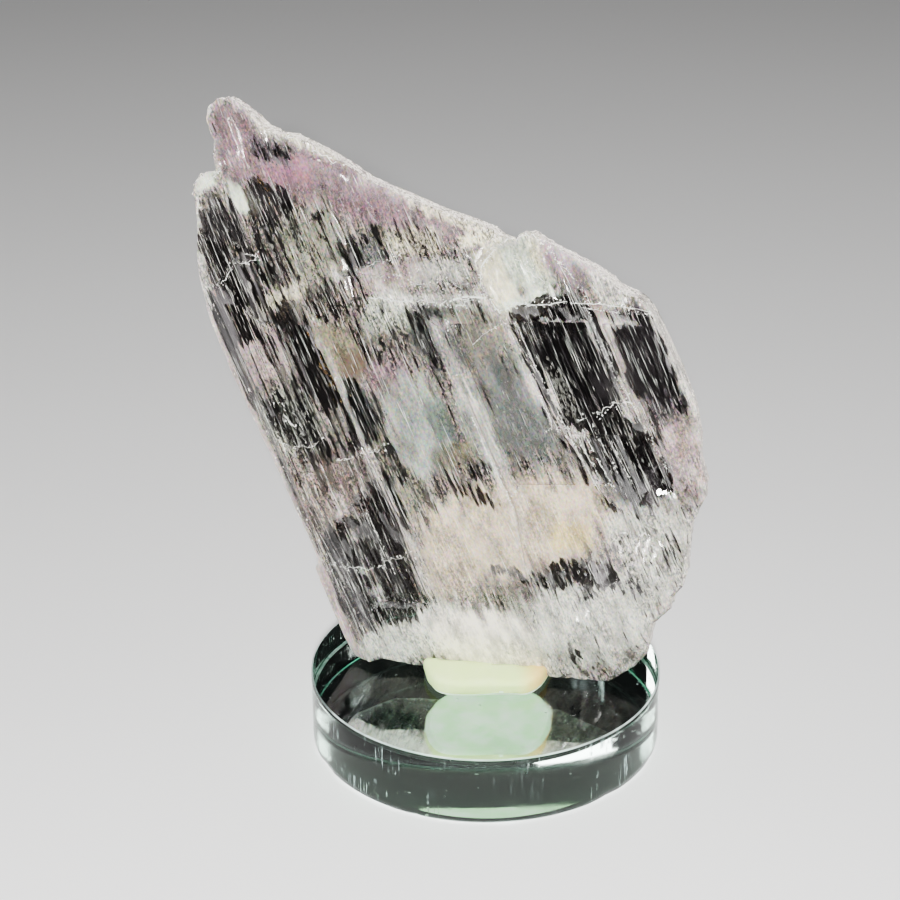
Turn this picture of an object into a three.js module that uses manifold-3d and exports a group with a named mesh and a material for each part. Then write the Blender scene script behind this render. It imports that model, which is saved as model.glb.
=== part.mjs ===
// A kunzite crystal on its display base: a flattened, striated blade of lilac-pink
// spodumene, set in a pad of mounting putty on a round slab of clear glass.
// Millimetres, +Z up, origin at the centre of the underside of the glass.
// The broad face of the blade looks towards -Y.
import * as THREE from 'three';
import { mergeVertices } from 'three/addons/utils/BufferGeometryUtils.js';
import Module from 'manifold-3d';

const wasm = await Module();
wasm.setup();

// ---- driving dimensions ---------------------------------------------------------
const GLASS_DIAMETER = 50;
const GLASS_THICKNESS = 10.4;
const GLASS_ARRIS = 0.4;
const GLASS_SEGMENTS = 96;

const YAW = THREE.MathUtils.degToRad(-9); // the right side of the blade comes forward
const LEAN = THREE.MathUtils.degToRad(16); // the top of the blade leans back
const AXIS_TILT = THREE.MathUtils.degToRad(26); // the long axis falls over to the left
const SEAT = new THREE.Vector3(2.6, -0.1, GLASS_THICKNESS + 2.3); // the blade's own origin

const FRONT = 4.4; // main front face, from the blade's middle plane
const BACK = -4.8; // main back face
const HEAD = 5.9; // front of the blade grown over the right-hand side
const RIM = 0.5; // narrow bevel all round the main blade
const THICKEST = 7.5; // nothing stands further out than this

const PUTTY_HEIGHT = 2.6;
const PUTTY_ROUNDING = 1.0;
const SEAT_GAP = 0.3; // clearance kept between the putty and the crystal

// ---- outlines of the blades, [across, along] the crystal's long axis ------------
const MAIN_OUTLINE = [
  [-7.8, 86], [-7, 87.4], [-5.5, 88], [-4, 87.5], [-3, 86.2], [-2, 84.2], // tip
  [-1.3, 82], [0.2, 80.3], [2, 79.3],
  [5.8, 75], [8.3, 71.5], [9.5, 69.5], [11.5, 67.4], [17, 61.7], // upper right
  [20.6, 58.5], [23, 56.2], [23.8, 54.6], [25.6, 53.3],
  [34, 45], [35.6, 43.6], [36.4, 41.6], [38, 40.2], [38.8, 38.8], // right
  [39.3, 36.8], [39.7, 28], [39.7, 23],
  [38.7, 18.8], [37.4, 15.8], [36.9, 12.4], [36, 10.6], [32.7, 7.8], // etched corner
  [31.2, 5], [29.6, 1.8], [28, 0], [26.2, -1], [25.4, -2.2], [22.3, -3.3], [19.8, -7],
  [17.5, -8.2], [12.5, -9], [8.2, -8.2], [5.4, -6.2], [-6, 0.2], // foot
  [-12, 3.4], [-16, 6], [-18, 6.2], [-19.8, 7.5],
  [-20.4, 9], [-20.5, 15], [-20.3, 21.4], [-19.2, 22.4], [-18.9, 26], // left
  [-19.3, 40], [-19.8, 50], [-19.6, 60], [-18, 66.6], [-15.2, 73],
  [-13.8, 77.2], [-13, 78.5], [-11.8, 79.2], [-9.5, 78.8], [-8.8, 81], [-8, 83], // stub
];
const HEAD_OUTLINE = [
  [19.2, 50], [19.8, 52.8], [22, 53.8], [24.4, 53.6], [25.6, 53.2], [26.6, 54], [28, 53.6],
  [31, 49.6], [34.4, 45.6], [36.4, 42], [38, 40.2], [38.8, 38.8], [39.4, 36.8], [39.6, 28],
  [38.6, 18.8], [34, 13], [28, 9], [23.5, 15], [21.5, 26], [20.5, 42], [19, 46],
];
const MIDDLE_OUTLINE = [
  [-5.6, 54], [-2, 58], [5, 56], [10.9, 47], [10.9, 19], [8, 8], [1, 4], [-5.2, 9],
];
const PUTTY_FOOTPRINT = [ // seen from above, in the glass's own frame
  [-6.6, -8.4], [0.9, -9.0], [8.0, -8.2], [10.0, -2.6], [9.2, 3.5],
  [6.4, 7.8], [1.0, 9.0], [-4.8, 7.4], [-8.2, 3.0], [-8.8, -2.8],
];
// Shallow ledges left where growth layers stop short, as [low across, low along,
// high across, high along, end slant, depth]; long edges run with the crystal's axis.
const FRONT_LEDGES = [
  [-12.5, 14, -5.9, 57, -3.0, 0.45],
  [-17.6, 36, -13.8, 62, -1.6, 0.3],
  [12.6, 22, 20.0, 46.5, -2.9, 0.4],
  [-3.2, 60, 6.5, 66, -3.6, 0.3],
];
const HEAD_LEDGES = [
  [22.6, 26, 30.4, 43.0, -3.4, 0.5],
  [32.4, 21, 37.4, 38.5, -2.2, 0.4],
];
const BACK_LEDGES = [
  [-14.5, 24, -8.0, 66, 3.0, 0.5],
  [-2.0, 10, 4.6, 48, 3.2, 0.7],
  [9.0, 30, 15.5, 58, -3.0, 0.45],
  [19.5, 6, 25.0, 40, 2.6, 0.8],
  [29.5, 18, 35.0, 38, -2.6, 0.5],
];

// ---- solids ---------------------------------------------------------------------
function toSolid(geometry) {
  const bare = geometry.clone();
  bare.deleteAttribute('normal');
  bare.deleteAttribute('uv');
  const merged = mergeVertices(bare, 1e-4);
  return new wasm.Manifold(new wasm.Mesh({
    numProp: 3,
    vertProperties: Float32Array.from(merged.attributes.position.array),
    triVerts: Uint32Array.from(merged.index.array),
  }));
}

function toGeometry(solid) {
  const mesh = solid.getMesh();
  const geometry = new THREE.BufferGeometry();
  geometry.setAttribute('position', new THREE.BufferAttribute(mesh.vertProperties, 3));
  geometry.setIndex(new THREE.BufferAttribute(mesh.triVerts, 1));
  geometry.computeVertexNormals();
  return geometry;
}

// A flat blade between two levels, with a bevel of the given width round both faces.
function blade(outline, low, high, bevel) {
  const shape = new THREE.Shape(outline.map(([across, along]) => new THREE.Vector2(across, along)));
  const geometry = new THREE.ExtrudeGeometry(shape, {
    depth: high - low - 2 * bevel,
    bevelEnabled: bevel > 0,
    bevelThickness: bevel,
    bevelSize: bevel,
    bevelOffset: -bevel,
    bevelSegments: 1,
  });
  return toSolid(geometry.translate(0, 0, low + bevel));
}

// Everything on the outer side of a plane, as a block to cut away.
function beyond(point, normal) {
  const reach = 160;
  const turn = new THREE.Quaternion().setFromUnitVectors(
    new THREE.Vector3(0, 0, 1), new THREE.Vector3(...normal).normalize());
  const block = new THREE.BoxGeometry(reach, reach, reach).translate(0, 0, reach / 2);
  return toSolid(block.applyQuaternion(turn).translate(...point));
}

// The outer side of a face that leans by an angle from the blade's own face towards a
// direction in the blade; side is +1 on the front and -1 on the back.
function facet([across, along, level], heading, angle, side = 1) {
  const way = THREE.MathUtils.degToRad(heading);
  const slope = THREE.MathUtils.degToRad(angle);
  return beyond([across, along, level], [
    Math.cos(way) * Math.sin(slope), Math.sin(way) * Math.sin(slope), side * Math.cos(slope)]);
}

function carve(solid, facets) {
  return facets.reduce((left, face) => left.subtract(face), solid);
}

function lump([across, along, level], size) {
  return toSolid(new THREE.IcosahedronGeometry(1, 2).scale(...size).translate(across, along, level));
}

// The slabs taken off one face to leave its ledges.
function ledges(list, face, side) {
  const clear = 3;
  return list.map(([left, low, right, high, slant, depth]) => blade(
    [[left, low], [right, low + slant], [right, high + slant], [left, high]],
    side > 0 ? face - depth : face - clear, side > 0 ? face + clear : face + depth, 0));
}

// ---- the crystal, standing along its own axis -----------------------------------
function mainBlade() {
  return carve(blade(MAIN_OUTLINE, BACK, FRONT, RIM), [
    ...ledges(FRONT_LEDGES, FRONT, 1),
    ...ledges(BACK_LEDGES, BACK, -1),
    facet([12, 50.7, FRONT], 69, 4), // ledge across the face, then
    facet([10.5, 61, FRONT], 43, 17), // the broad sloping face under the termination
    facet([13, 59, BACK], 41, 22, -1), // and its fellow on the back
    facet([-14.5, 40, FRONT], 180, 10), // thin left side
    facet([-17.8, 40, FRONT - 1], 180, 40),
    facet([-12, 40, BACK], 180, 12, -1),
    facet([-17, 40, BACK + 1.2], 182, 44, -1),
    facet([-6, 74, FRONT], 100, 9), // the tip thins upwards
    facet([-6, 70, BACK], 112, 12, -1),
    facet([0, 3.5, FRONT], 244, 14), // underside
    facet([21, 30, BACK], 0, 5, -1), // back right, in two flats
    facet([31, 30, BACK + 0.9], 2, 12, -1),
  ]);
}

function headBlade() {
  return carve(blade(HEAD_OUTLINE, -2, HEAD, 0.7), [
    ...ledges(HEAD_LEDGES, HEAD, 1),
    facet([30, 26, HEAD], 270, 5), // sinks back into the main face downwards
    facet([36.5, 30, HEAD], 3, 16), // right-hand side
    facet([30, 42.4, HEAD], 66, 14), // top right shoulder
    facet([22, 48, HEAD], 140, 9), // rounded nose
  ]);
}

function middleBlade() {
  return carve(blade(MIDDLE_OUTLINE, 0, FRONT + 0.7, 0.35), [
    facet([3, 44, FRONT + 0.7], 84, 4),
    facet([3, 20, FRONT + 0.7], 262, 4),
    facet([6, 30, FRONT + 0.7], 0, 2),
  ]);
}

// Etched, rounded ground in the lower right corner.
function etchedCorner() {
  return [
    lump([22, 5, 0.2], [11, 9, 5.4]),
    lump([30, 12, 0.0], [7.5, 8, 5.3]),
    lump([12, 0, -0.2], [10, 6.4, 5.1]),
    lump([24, 7, -1.2], [9, 9, 5.0]),
    lump([10, 8, -1.4], [8, 7, 4.4]),
  ];
}

function crystalSolid() {
  const grown = [headBlade(), middleBlade(), ...etchedCorner()]
    .reduce((whole, piece) => whole.add(piece), mainBlade());
  const trimmed = grown.intersect(blade(MAIN_OUTLINE, -THICKEST, THICKEST, 0)
    .add(blade(HEAD_OUTLINE, -THICKEST, THICKEST, 0)));
  return carve(trimmed, [
    facet([37.2, 24, FRONT + 0.6], -14, 34), // right edge, front and back
    facet([36, 24, BACK + 1.4], -10, 36, -1),
    facet([32, 6.5, FRONT + 0.2], -40, 30), // lower right corner
    facet([29, 8.5, BACK + 0.6], -42, 36, -1),
    facet([21, -4, FRONT + 0.2], -76, 30),
    facet([20, -1, BACK], -80, 38, -1),
    facet([9.6, -7.7, FRONT], 244, 74, -1), // the foot, nearly level as it stands
  ]);
}

// ---- the base -------------------------------------------------------------------
function glassGeometry() {
  const radius = GLASS_DIAMETER / 2;
  const profile = [
    [0, 0], [radius - GLASS_ARRIS, 0], [radius, GLASS_ARRIS],
    [radius, GLASS_THICKNESS - GLASS_ARRIS], [radius - GLASS_ARRIS, GLASS_THICKNESS],
    [0, GLASS_THICKNESS],
  ].map(([r, z]) => new THREE.Vector2(r, z));
  return new THREE.LatheGeometry(profile, GLASS_SEGMENTS).rotateX(Math.PI / 2);
}

// A pressed pad with a rounded rim, flat where it sticks to the glass and hollowed
// where the foot of the crystal sits in it.
function puttyGeometry(crystal) {
  const rim = new THREE.CatmullRomCurve3(
    PUTTY_FOOTPRINT.map(([x, y]) => new THREE.Vector3(x, y, 0)), true).getPoints(60).slice(0, -1);
  const pad = new THREE.ExtrudeGeometry(new THREE.Shape(rim), {
    depth: PUTTY_HEIGHT - 2 * PUTTY_ROUNDING,
    bevelThickness: PUTTY_ROUNDING,
    bevelSize: PUTTY_ROUNDING,
    bevelOffset: -PUTTY_ROUNDING,
    bevelSegments: 4,
  }).translate(0, 0, GLASS_THICKNESS + PUTTY_ROUNDING);
  const foot = toSolid(crystal.geometry.clone().applyMatrix4(crystal.matrixWorld));
  const sides = [-SEAT_GAP, 0, SEAT_GAP];
  const socket = sides.flatMap((x) => sides.flatMap((y) => sides.map((z) => [x, y, z])));
  return toGeometry(socket.reduce((left, step) => left.subtract(foot.translate(step)), toSolid(pad)));
}

// ---- the object -----------------------------------------------------------------
function material(colour, roughness) {
  return new THREE.MeshStandardMaterial({ color: colour, roughness, metalness: 0 });
}

function piece(name, geometry, finish) {
  const mesh = new THREE.Mesh(geometry, finish);
  mesh.name = name;
  return mesh;
}

const mounting = new THREE.Group(); // holds the crystal the way it leans on the base
mounting.position.copy(SEAT);
mounting.rotation.set(Math.PI / 2 - LEAN, 0, YAW, 'ZYX');

const crystal = piece('kunzite_crystal', toGeometry(crystalSolid()), material(0xd9bcd0, 0.25));
crystal.rotation.z = AXIS_TILT;
mounting.add(crystal);
mounting.updateMatrixWorld(true);

const object = new THREE.Group();
object.add(mounting);
object.add(piece('glass_base', glassGeometry(), material(0xcfe4dc, 0.05)));
object.add(piece('mounting_putty', puttyGeometry(crystal), material(0xe6efcf, 0.6)));

export default object;
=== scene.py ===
"""A kunzite crystal on its round glass base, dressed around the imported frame.

The blade of kunzite leans back in a pad of putty on a slab of glass with a silvered
underside. Every piece is built in metres in the frame's own axes. Sizes and places on
the crystal are written in its own millimetres: across the long axis, along it, and out
of the broad front face.
"""

import logging
import math
from dataclasses import dataclass
from enum import Enum

import bmesh
import bpy
import numpy as np
from mathutils import Matrix, Vector, noise
from mathutils.bvhtree import BVHTree
from mathutils.kdtree import KDTree


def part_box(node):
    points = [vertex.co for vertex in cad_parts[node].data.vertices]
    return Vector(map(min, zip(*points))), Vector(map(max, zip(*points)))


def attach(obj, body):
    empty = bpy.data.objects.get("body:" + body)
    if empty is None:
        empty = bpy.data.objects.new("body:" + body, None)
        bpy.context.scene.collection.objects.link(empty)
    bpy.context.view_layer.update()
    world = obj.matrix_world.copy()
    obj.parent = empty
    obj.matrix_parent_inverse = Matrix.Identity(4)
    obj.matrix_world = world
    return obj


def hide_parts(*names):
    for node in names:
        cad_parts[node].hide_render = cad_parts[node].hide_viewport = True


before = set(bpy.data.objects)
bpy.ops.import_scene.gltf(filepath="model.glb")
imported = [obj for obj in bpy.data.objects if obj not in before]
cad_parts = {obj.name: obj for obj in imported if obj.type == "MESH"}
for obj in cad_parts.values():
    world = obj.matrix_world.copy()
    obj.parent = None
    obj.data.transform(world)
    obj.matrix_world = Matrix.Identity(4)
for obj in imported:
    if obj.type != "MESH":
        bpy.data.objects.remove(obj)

log = logging.getLogger("kunzite")

MM = 0.001
BODY = "root"

Point = tuple[float, float]
Triple = tuple[float, float, float]
Colour = Triple
Met = tuple[Vector, Vector]  # a point of the surface and its normal
Socket = bpy.types.NodeSocket


# ---- the crystal's own axes ---------------------------------------------------------
@dataclass(frozen=True)
class CrystalAxes:
    """Where the crystal's own axes stand in the frame."""

    seat: Triple = (2.6, -0.1, 12.7)  # mm
    turn: float = -9.0  # degrees: the right side comes forward
    lean: float = 16.0  # the top leans back
    tilt: float = 26.0  # the long axis falls over to the left

    def rotation(self) -> Matrix:
        """The turn from crystal axes to the frame's axes, as a 3x3 matrix."""
        return (
            Matrix.Rotation(math.radians(self.turn), 3, "Z")
            @ Matrix.Rotation(math.radians(90 - self.lean), 3, "X")
            @ Matrix.Rotation(math.radians(self.tilt), 3, "Z")
        )

    def to_frame(self) -> Matrix:
        """The matrix that takes crystal millimetres to frame metres."""
        return (
            Matrix.Translation(Vector(self.seat) * MM)
            @ self.rotation().to_4x4()
            @ Matrix.Scale(MM, 4)
        )


AXES = CrystalAxes()


class Side(Enum):
    """A broad face of the blade, by the way it looks along the blade's out axis."""

    FRONT = 1
    BACK = -1


class Reach(Enum):
    """What a studio light falls on."""

    PIECES = "pieces"
    FLOOR = "floor"


# ---- node trees ---------------------------------------------------------------------
@dataclass(frozen=True)
class Absorption:
    """What a clear solid takes from the light that passes through it."""

    colour: Colour
    density: float  # per metre


class Recipe:
    """A node tree under construction, with short calls that add and join nodes."""

    def __init__(self, tree: bpy.types.NodeTree) -> None:
        """Starts by emptying the tree of a material or a group."""
        self.tree = tree
        tree.nodes.clear()

    def node(self, kind: str, **settings: object) -> bpy.types.Node:
        """Adds a node and sets its properties.

        Args:
            kind: the node's class name without its ShaderNode prefix.
            **settings: properties of the node.

        Returns:
            The new node.
        """
        made = self.tree.nodes.new("ShaderNode" + kind)
        for key, value in settings.items():
            setattr(made, key, value)
        return made

    def feed(self, target: Socket, source: object) -> None:
        """Joins a socket to an input, or sets the input to a plain value.

        Args:
            target: the input socket.
            source: an output socket, a number, a vector or a colour.
        """
        if isinstance(source, Socket):
            self.tree.links.new(source, target)
        elif target.type == "RGBA" and len(source) == 3:
            target.default_value = (*source, 1.0)
        else:
            target.default_value = source

    def where(self) -> Socket:
        """The place on the piece, in frame metres."""
        return self.node("TexCoord").outputs["Object"]

    def painted(self, name: str, output: str = "Fac") -> Socket:
        """What was painted on the piece's vertices under a name."""
        return self.node("Attribute", attribute_name=name).outputs[output]

    def math(self, operation: str, *values: object, clamp: bool = False) -> Socket:
        """Adds a Math node.

        Args:
            operation: the node's operation.
            *values: its inputs in order, sockets or numbers.
            clamp: whether the result is held between 0 and 1.

        Returns:
            The node's output.
        """
        made = self.node("Math", operation=operation, use_clamp=clamp)
        for socket, value in zip(made.inputs, values):
            self.feed(socket, value)
        return made.outputs[0]

    def stretch(self, vector: Socket, by: Triple) -> Socket:
        """Multiplies a vector by three factors.

        Args:
            vector: the vector.
            by: one factor for each axis.

        Returns:
            The stretched vector.
        """
        made = self.node("VectorMath", operation="MULTIPLY")
        self.feed(made.inputs[0], vector)
        made.inputs[1].default_value = by
        return made.outputs[0]

    def noise(self, vector: Socket, scale: float, detail: float, roughness: float) -> bpy.types.Node:
        """Adds a Noise Texture.

        Args:
            vector: where it is read.
            scale: its frequency.
            detail: its octaves.
            roughness: how strong the finer octaves are.

        Returns:
            The node, with its Fac and Color outputs.
        """
        made = self.node("TexNoise")
        named = {"Vector": vector, "Scale": scale, "Detail": detail, "Roughness": roughness}
        for name, value in named.items():
            self.feed(made.inputs[name], value)
        return made

    def grain(self, vector: Socket, scale: float, detail: float, roughness: float) -> Socket:
        """The value of a Noise Texture with the same inputs, from 0 to 1."""
        return self.noise(vector, scale, detail, roughness).outputs["Fac"]

    def between(
        self, value: Socket, low: float, high: float, bottom: float = 0.0, top: float = 1.0,
    ) -> Socket:
        """Runs smoothly from bottom to top as a value goes from low to high.

        Args:
            value: the value that is read.
            low: where the result starts.
            high: where the result ends.
            bottom: the result at low.
            top: the result at high.

        Returns:
            The mapped value.
        """
        made = self.node("MapRange", interpolation_type="SMOOTHSTEP")
        for socket, entry in zip(made.inputs, (value, low, high, bottom, top)):
            self.feed(socket, entry)
        return made.outputs[0]

    def blend(self, share: object, first: object, second: object, how: str = "MIX") -> Socket:
        """Mixes two colours.

        Args:
            share: how much of the second shows.
            first: a colour or its socket.
            second: a colour or its socket.
            how: the blend type.

        Returns:
            The mixed colour.
        """
        made = self.node("Mix", data_type="RGBA", blend_type=how)
        for index, entry in zip((0, 6, 7), (share, first, second)):
            self.feed(made.inputs[index], entry)
        return made.outputs[2]

    def bump(self, height: Socket, distance: float, strength: float) -> Socket:
        """Turns a height into a normal.

        Args:
            height: the height, from 0 to 1.
            distance: how far 1 stands out, in metres.
            strength: how strongly it shows.

        Returns:
            The bumped normal.
        """
        made = self.node("Bump")
        for name, value in {"Strength": strength, "Distance": distance, "Height": height}.items():
            self.feed(made.inputs[name], value)
        return made.outputs[0]

    def principled(self, **values: object) -> Socket:
        """Adds a Principled shader.

        Args:
            **values: inputs by name, with underscores for spaces.

        Returns:
            The shader.
        """
        made = self.node("BsdfPrincipled")
        for key, value in values.items():
            self.feed(made.inputs[key.replace("_", " ")], value)
        return made.outputs[0]

    def mixed(self, share: Socket, first: Socket, second: Socket) -> Socket:
        """Mixes two shaders.

        Args:
            share: how much of the second shows.
            first: a shader.
            second: a shader.

        Returns:
            The mixed shader.
        """
        made = self.node("MixShader")
        for socket, source in zip(made.inputs, (share, first, second)):
            self.feed(socket, source)
        return made.outputs[0]

    def output(self, surface: Socket, absorbs: Absorption | None = None) -> None:
        """Adds the material's output.

        Args:
            surface: the surface shader.
            absorbs: what the inside takes from light that passes through.
        """
        made = self.node("OutputMaterial")
        self.feed(made.inputs["Surface"], surface)
        if absorbs is not None:
            inside = self.node("VolumeAbsorption")
            self.feed(inside.inputs["Color"], absorbs.colour)
            self.feed(inside.inputs["Density"], absorbs.density)
            self.feed(made.inputs["Volume"], inside.outputs[0])


@dataclass(frozen=True)
class StriationLayer:
    """One layer of the noise that draws the crystal's lengthwise striation."""

    across: float  # cycles per mm across the long axis
    along: float  # cycles per mm along it
    octaves: float
    weight: float


COMBED = StriationLayer(2.2, 0.07, 1.0, 4.6)  # long fine lines
STRIATION = (
    StriationLayer(1.5, 0.12, 2.0, 3.0),
    StriationLayer(3.4, 0.30, 1.5, 4.0),
    StriationLayer(4.2, 1.10, 2.0, 1.9),
)


class Dust:
    """Fine specks that settle on a surface: a node group that two finishes share."""

    name = "settled_dust"
    rarest: float = 0.55  # cells of less than this random value stay empty
    largest: float = 0.16  # a speck's radius, as a share of its cell

    @classmethod
    def group(cls) -> bpy.types.NodeTree:
        """Builds the group the first time it is asked for.

        Returns:
            The group: Vector and Spacing in, a Specks mask out.
        """
        if cls.name in bpy.data.node_groups:
            return bpy.data.node_groups[cls.name]
        group = bpy.data.node_groups.new(cls.name, "ShaderNodeTree")
        group.interface.new_socket("Vector", in_out="INPUT", socket_type="NodeSocketVector")
        group.interface.new_socket("Spacing", in_out="INPUT", socket_type="NodeSocketFloat")
        group.interface.new_socket("Specks", in_out="OUTPUT", socket_type="NodeSocketFloat")
        recipe = Recipe(group)
        given = group.nodes.new("NodeGroupInput").outputs
        wanted = group.nodes.new("NodeGroupOutput").inputs
        cells = recipe.node("TexVoronoi")
        recipe.feed(cells.inputs["Vector"], given["Vector"])
        recipe.feed(cells.inputs["Scale"], given["Spacing"])
        size = recipe.between(cells.outputs["Color"], cls.rarest, 1.0, 0.0, cls.largest)
        recipe.feed(wanted["Specks"], recipe.math("LESS_THAN", cells.outputs["Distance"], size))
        return group

    @classmethod
    def specks(cls, recipe: Recipe, where: Socket, spacing: float) -> Socket:
        """Places the group in a material with its own spacing.

        Args:
            recipe: the material's recipe.
            where: the place on the piece.
            spacing: cells for each metre.

        Returns:
            A mask of the specks.
        """
        made = recipe.node("Group", node_tree=cls.group())
        recipe.feed(made.inputs["Vector"], where)
        recipe.feed(made.inputs["Spacing"], spacing)
        return made.outputs["Specks"]


# ---- patches laid on the crystal ----------------------------------------------------
@dataclass(frozen=True)
class Patch:
    """A soft-edged patch on the crystal's broad faces, in its own millimetres."""

    across: float
    along: float
    half_across: float
    half_along: float
    amount: float = 1.0
    slant: float = 0.0  # degrees, anticlockwise

    def cover(self, across: np.ndarray, along: np.ndarray, ragged: np.ndarray,
              soft: float = 0.5) -> np.ndarray:
        """How much of the patch lies at each point.

        Args:
            across: places across the long axis.
            along: places along it.
            ragged: noise about 0 that breaks the patch's edge.
            soft: the width of its fading edge, as a share of its half size.

        Returns:
            A share from 0 to 1 for each point.
        """
        turn = math.radians(self.slant)
        dx, dy = across - self.across, along - self.along
        u = (dx * math.cos(turn) + dy * math.sin(turn)) / self.half_across
        v = (dy * math.cos(turn) - dx * math.sin(turn)) / self.half_along
        square = 3  # the power that rounds a square's corners
        reach = (np.abs(u) ** square + np.abs(v) ** square) ** (1 / square) + 0.5 * ragged
        fade = np.clip((1.1 + soft / 2 - reach) / soft, 0.0, 1.0)
        return fade * fade * (3 - 2 * fade)


@dataclass(frozen=True)
class Terrace(Patch):
    """A patch that stands proud of the face, with steps for edges."""

    height: float = 0.3  # mm


@dataclass(frozen=True)
class Ground(Patch):
    """A patch of frosted ground with a colour, a thickness of haze and a calmness."""

    tint: Colour = (0.45, 0.41, 0.36)
    milk: float = 0.6  # how much the haze hides
    calm: float = 0.0  # how much the striation is smoothed away


ROSE: Colour = (0.57, 0.30, 0.38)
PINK: Colour = (0.44, 0.30, 0.33)
PALE_PINK: Colour = (0.62, 0.50, 0.48)
BLUSH: Colour = (0.42, 0.35, 0.30)
CREAM: Colour = (0.94, 0.89, 0.66)
YELLOW: Colour = (0.86, 0.72, 0.40)
PEACH: Colour = (0.74, 0.63, 0.48)
SAND: Colour = (0.36, 0.34, 0.27)
MOSS: Colour = (0.44, 0.44, 0.34)
ICE: Colour = (0.44, 0.47, 0.42)
SNOW: Colour = (0.77, 0.77, 0.69)
SHELL: Colour = (1.00, 0.94, 0.82)
MINT: Colour = (0.76, 0.82, 0.68)
TEAL: Colour = (0.20, 0.25, 0.22)
LILAC: Colour = (0.53, 0.42, 0.45)
DUSK: Colour = (0.25, 0.22, 0.24)
STEEL: Colour = (0.24, 0.26, 0.24)
SLATE: Colour = (0.20, 0.22, 0.21)
OLIVE: Colour = (0.15, 0.14, 0.07)
BROWN: Colour = (0.30, 0.27, 0.18)
RUST: Colour = (0.18, 0.13, 0.09)
# painted shade: near black, for frost that stands in for darkness seen through the crystal
PAINTED_SHADE_BLACK: Colour = (0.06, 0.06, 0.06)

# clear ground, where one looks into the crystal; the amount is how little frost crosses it
WINDOWS = (
    Patch(-12.8, 68.8, 3.1, 6.4, 1.08, -12), Patch(-14.0, 60.4, 3.5, 4.8, 1.0),
    Patch(-11.8, 72.6, 1.6, 2.6, 1.2, -10),
    Patch(-9.2, 65.0, 2.4, 3.6, 0.7), Patch(-5.7, 72.4, 1.9, 3.4, 0.9), Patch(-2.8, 71.2, 1.2, 2.3, 1.15),
    Patch(-5.0, 66.6, 3.6, 3.6, 0.55), Patch(-6.6, 62.4, 2.2, 2.6, 0.55), Patch(-17.8, 57.0, 1.2, 4.6, 0.9),
    Patch(-18.1, 49.6, 0.9, 3.4, 0.8), Patch(-12.6, 53.2, 1.0, 2.2, 0.8), Patch(-8.4, 50.0, 2.1, 7.4, 1.3),
    Patch(-6.3, 45.0, 0.35, 10.0, 1.4), Patch(-15.4, 44.4, 1.5, 2.6, 0.8),
    Patch(-13.0, 42.2, 2.2, 4.4, 0.85),
    Patch(-12.4, 37.4, 2.6, 2.1, 0.55), Patch(-17.4, 36.2, 1.1, 2.6, 0.55),
    Patch(-4.2, 40.4, 1.9, 4.6, 0.75),
    Patch(-7.0, 26.2, 2.8, 9.4, 1.15), Patch(-12.2, 22.6, 4.8, 3.8, 1.2, 12),
    Patch(-12.2, 16.2, 5.7, 5.4, 1.0),
    Patch(-6.8, 14.6, 1.8, 4.0, 0.8), Patch(-16.6, 31.4, 1.8, 3.8, 0.55), Patch(-3.4, 31.4, 1.6, 3.4, 0.6),
    Patch(-0.6, 56.2, 4.2, 2.8, 0.55), Patch(0.6, 49.4, 1.6, 4.0, 0.42), Patch(1.4, 67.4, 0.7, 0.8, 1.0),
    Patch(0.2, 64.8, 0.6, 0.7, 0.85), Patch(2.0, 65.6, 0.5, 0.9, 0.85), Patch(4.2, 60.8, 1.8, 2.0, 0.7),
    Patch(7.2, 61.8, 1.6, 1.1, 0.7), Patch(13.4, 60.2, 3.2, 2.0, 0.36, -38),
    Patch(9.3, 46.6, 1.8, 4.0, 0.62),
    Patch(12.6, 47.0, 2.0, 2.6, 0.55), Patch(16.8, 46.2, 3.0, 2.4, 0.4), Patch(26.6, 35.8, 5.3, 9.4, 2.1),
    Patch(23.2, 31.4, 1.6, 3.6, 0.85), Patch(21.0, 36.2, 0.42, 7.0, 1.7, 2),
    Patch(36.0, 32.6, 3.1, 6.6, 1.25),
    Patch(29.0, 19.4, 3.2, 6.8, 1.4), Patch(24.0, 21.8, 2.2, 4.4, 0.75), Patch(33.6, 23.0, 1.0, 3.2, 0.8),
    Patch(38.0, 24.4, 0.7, 1.8, 0.75), Patch(36.6, 25.4, 1.2, 1.2, 0.75),
    Patch(6.0, 23.6, 3.8, 1.1, 0.66, -52),
    Patch(8.4, 26.4, 2.2, 1.0, 0.66), Patch(14.0, 7.8, 3.0, 1.8, 0.85, -14),
    Patch(17.8, 6.0, 2.8, 1.8, 0.85, -20),
    Patch(5.0, 11.8, 1.6, 0.9, 0.66, -20), Patch(8.4, 9.6, 2.6, 1.0, 0.7, -34),
    Patch(15.4, 3.8, 1.3, 0.9, 0.6),
    Patch(22.2, 3.0, 1.4, 1.6, 0.55), Patch(28.9, 4.6, 1.1, 1.6, 0.5), Patch(10.2, -4.0, 1.0, 1.3, 0.62),
    Patch(24.0, 14.2, 2.0, 0.6, 0.8, -50), Patch(-1.4, 78.4, 2.9, 1.2, 0.62, -38),
    Patch(-7.4, 84.4, 0.6, 0.8, 0.75),
    Patch(-1.4, 81.6, 0.5, 0.9, 0.7, 20), Patch(0.0, 34.0, 9.0, 14.0, 0.2),
    Patch(-14.0, 50.0, 5.0, 10.0, 0.25),
    Patch(16.0, 2.0, 12.0, 7.0, 0.16), Patch(30.0, 10.0, 6.0, 6.0, 0.16), Patch(0.0, 66.0, 9.0, 6.0, 0.16),
)

CLOSED = (  # frosted ledges that cut the windows off sharply
    Patch(-8.2, 74.2, 0.8, 2.4, 1.0),
    Patch(26.0, 48.3, 6.6, 3.0, 1.0, -14), Patch(36.4, 42.6, 6.6, 3.0, 1.0, -28.5),
    Patch(-11.6, 31.4, 7.4, 2.6, 0.8, 14), Patch(-12.6, 78.0, 3.0, 1.6, 1.0, 30),
)

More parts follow.
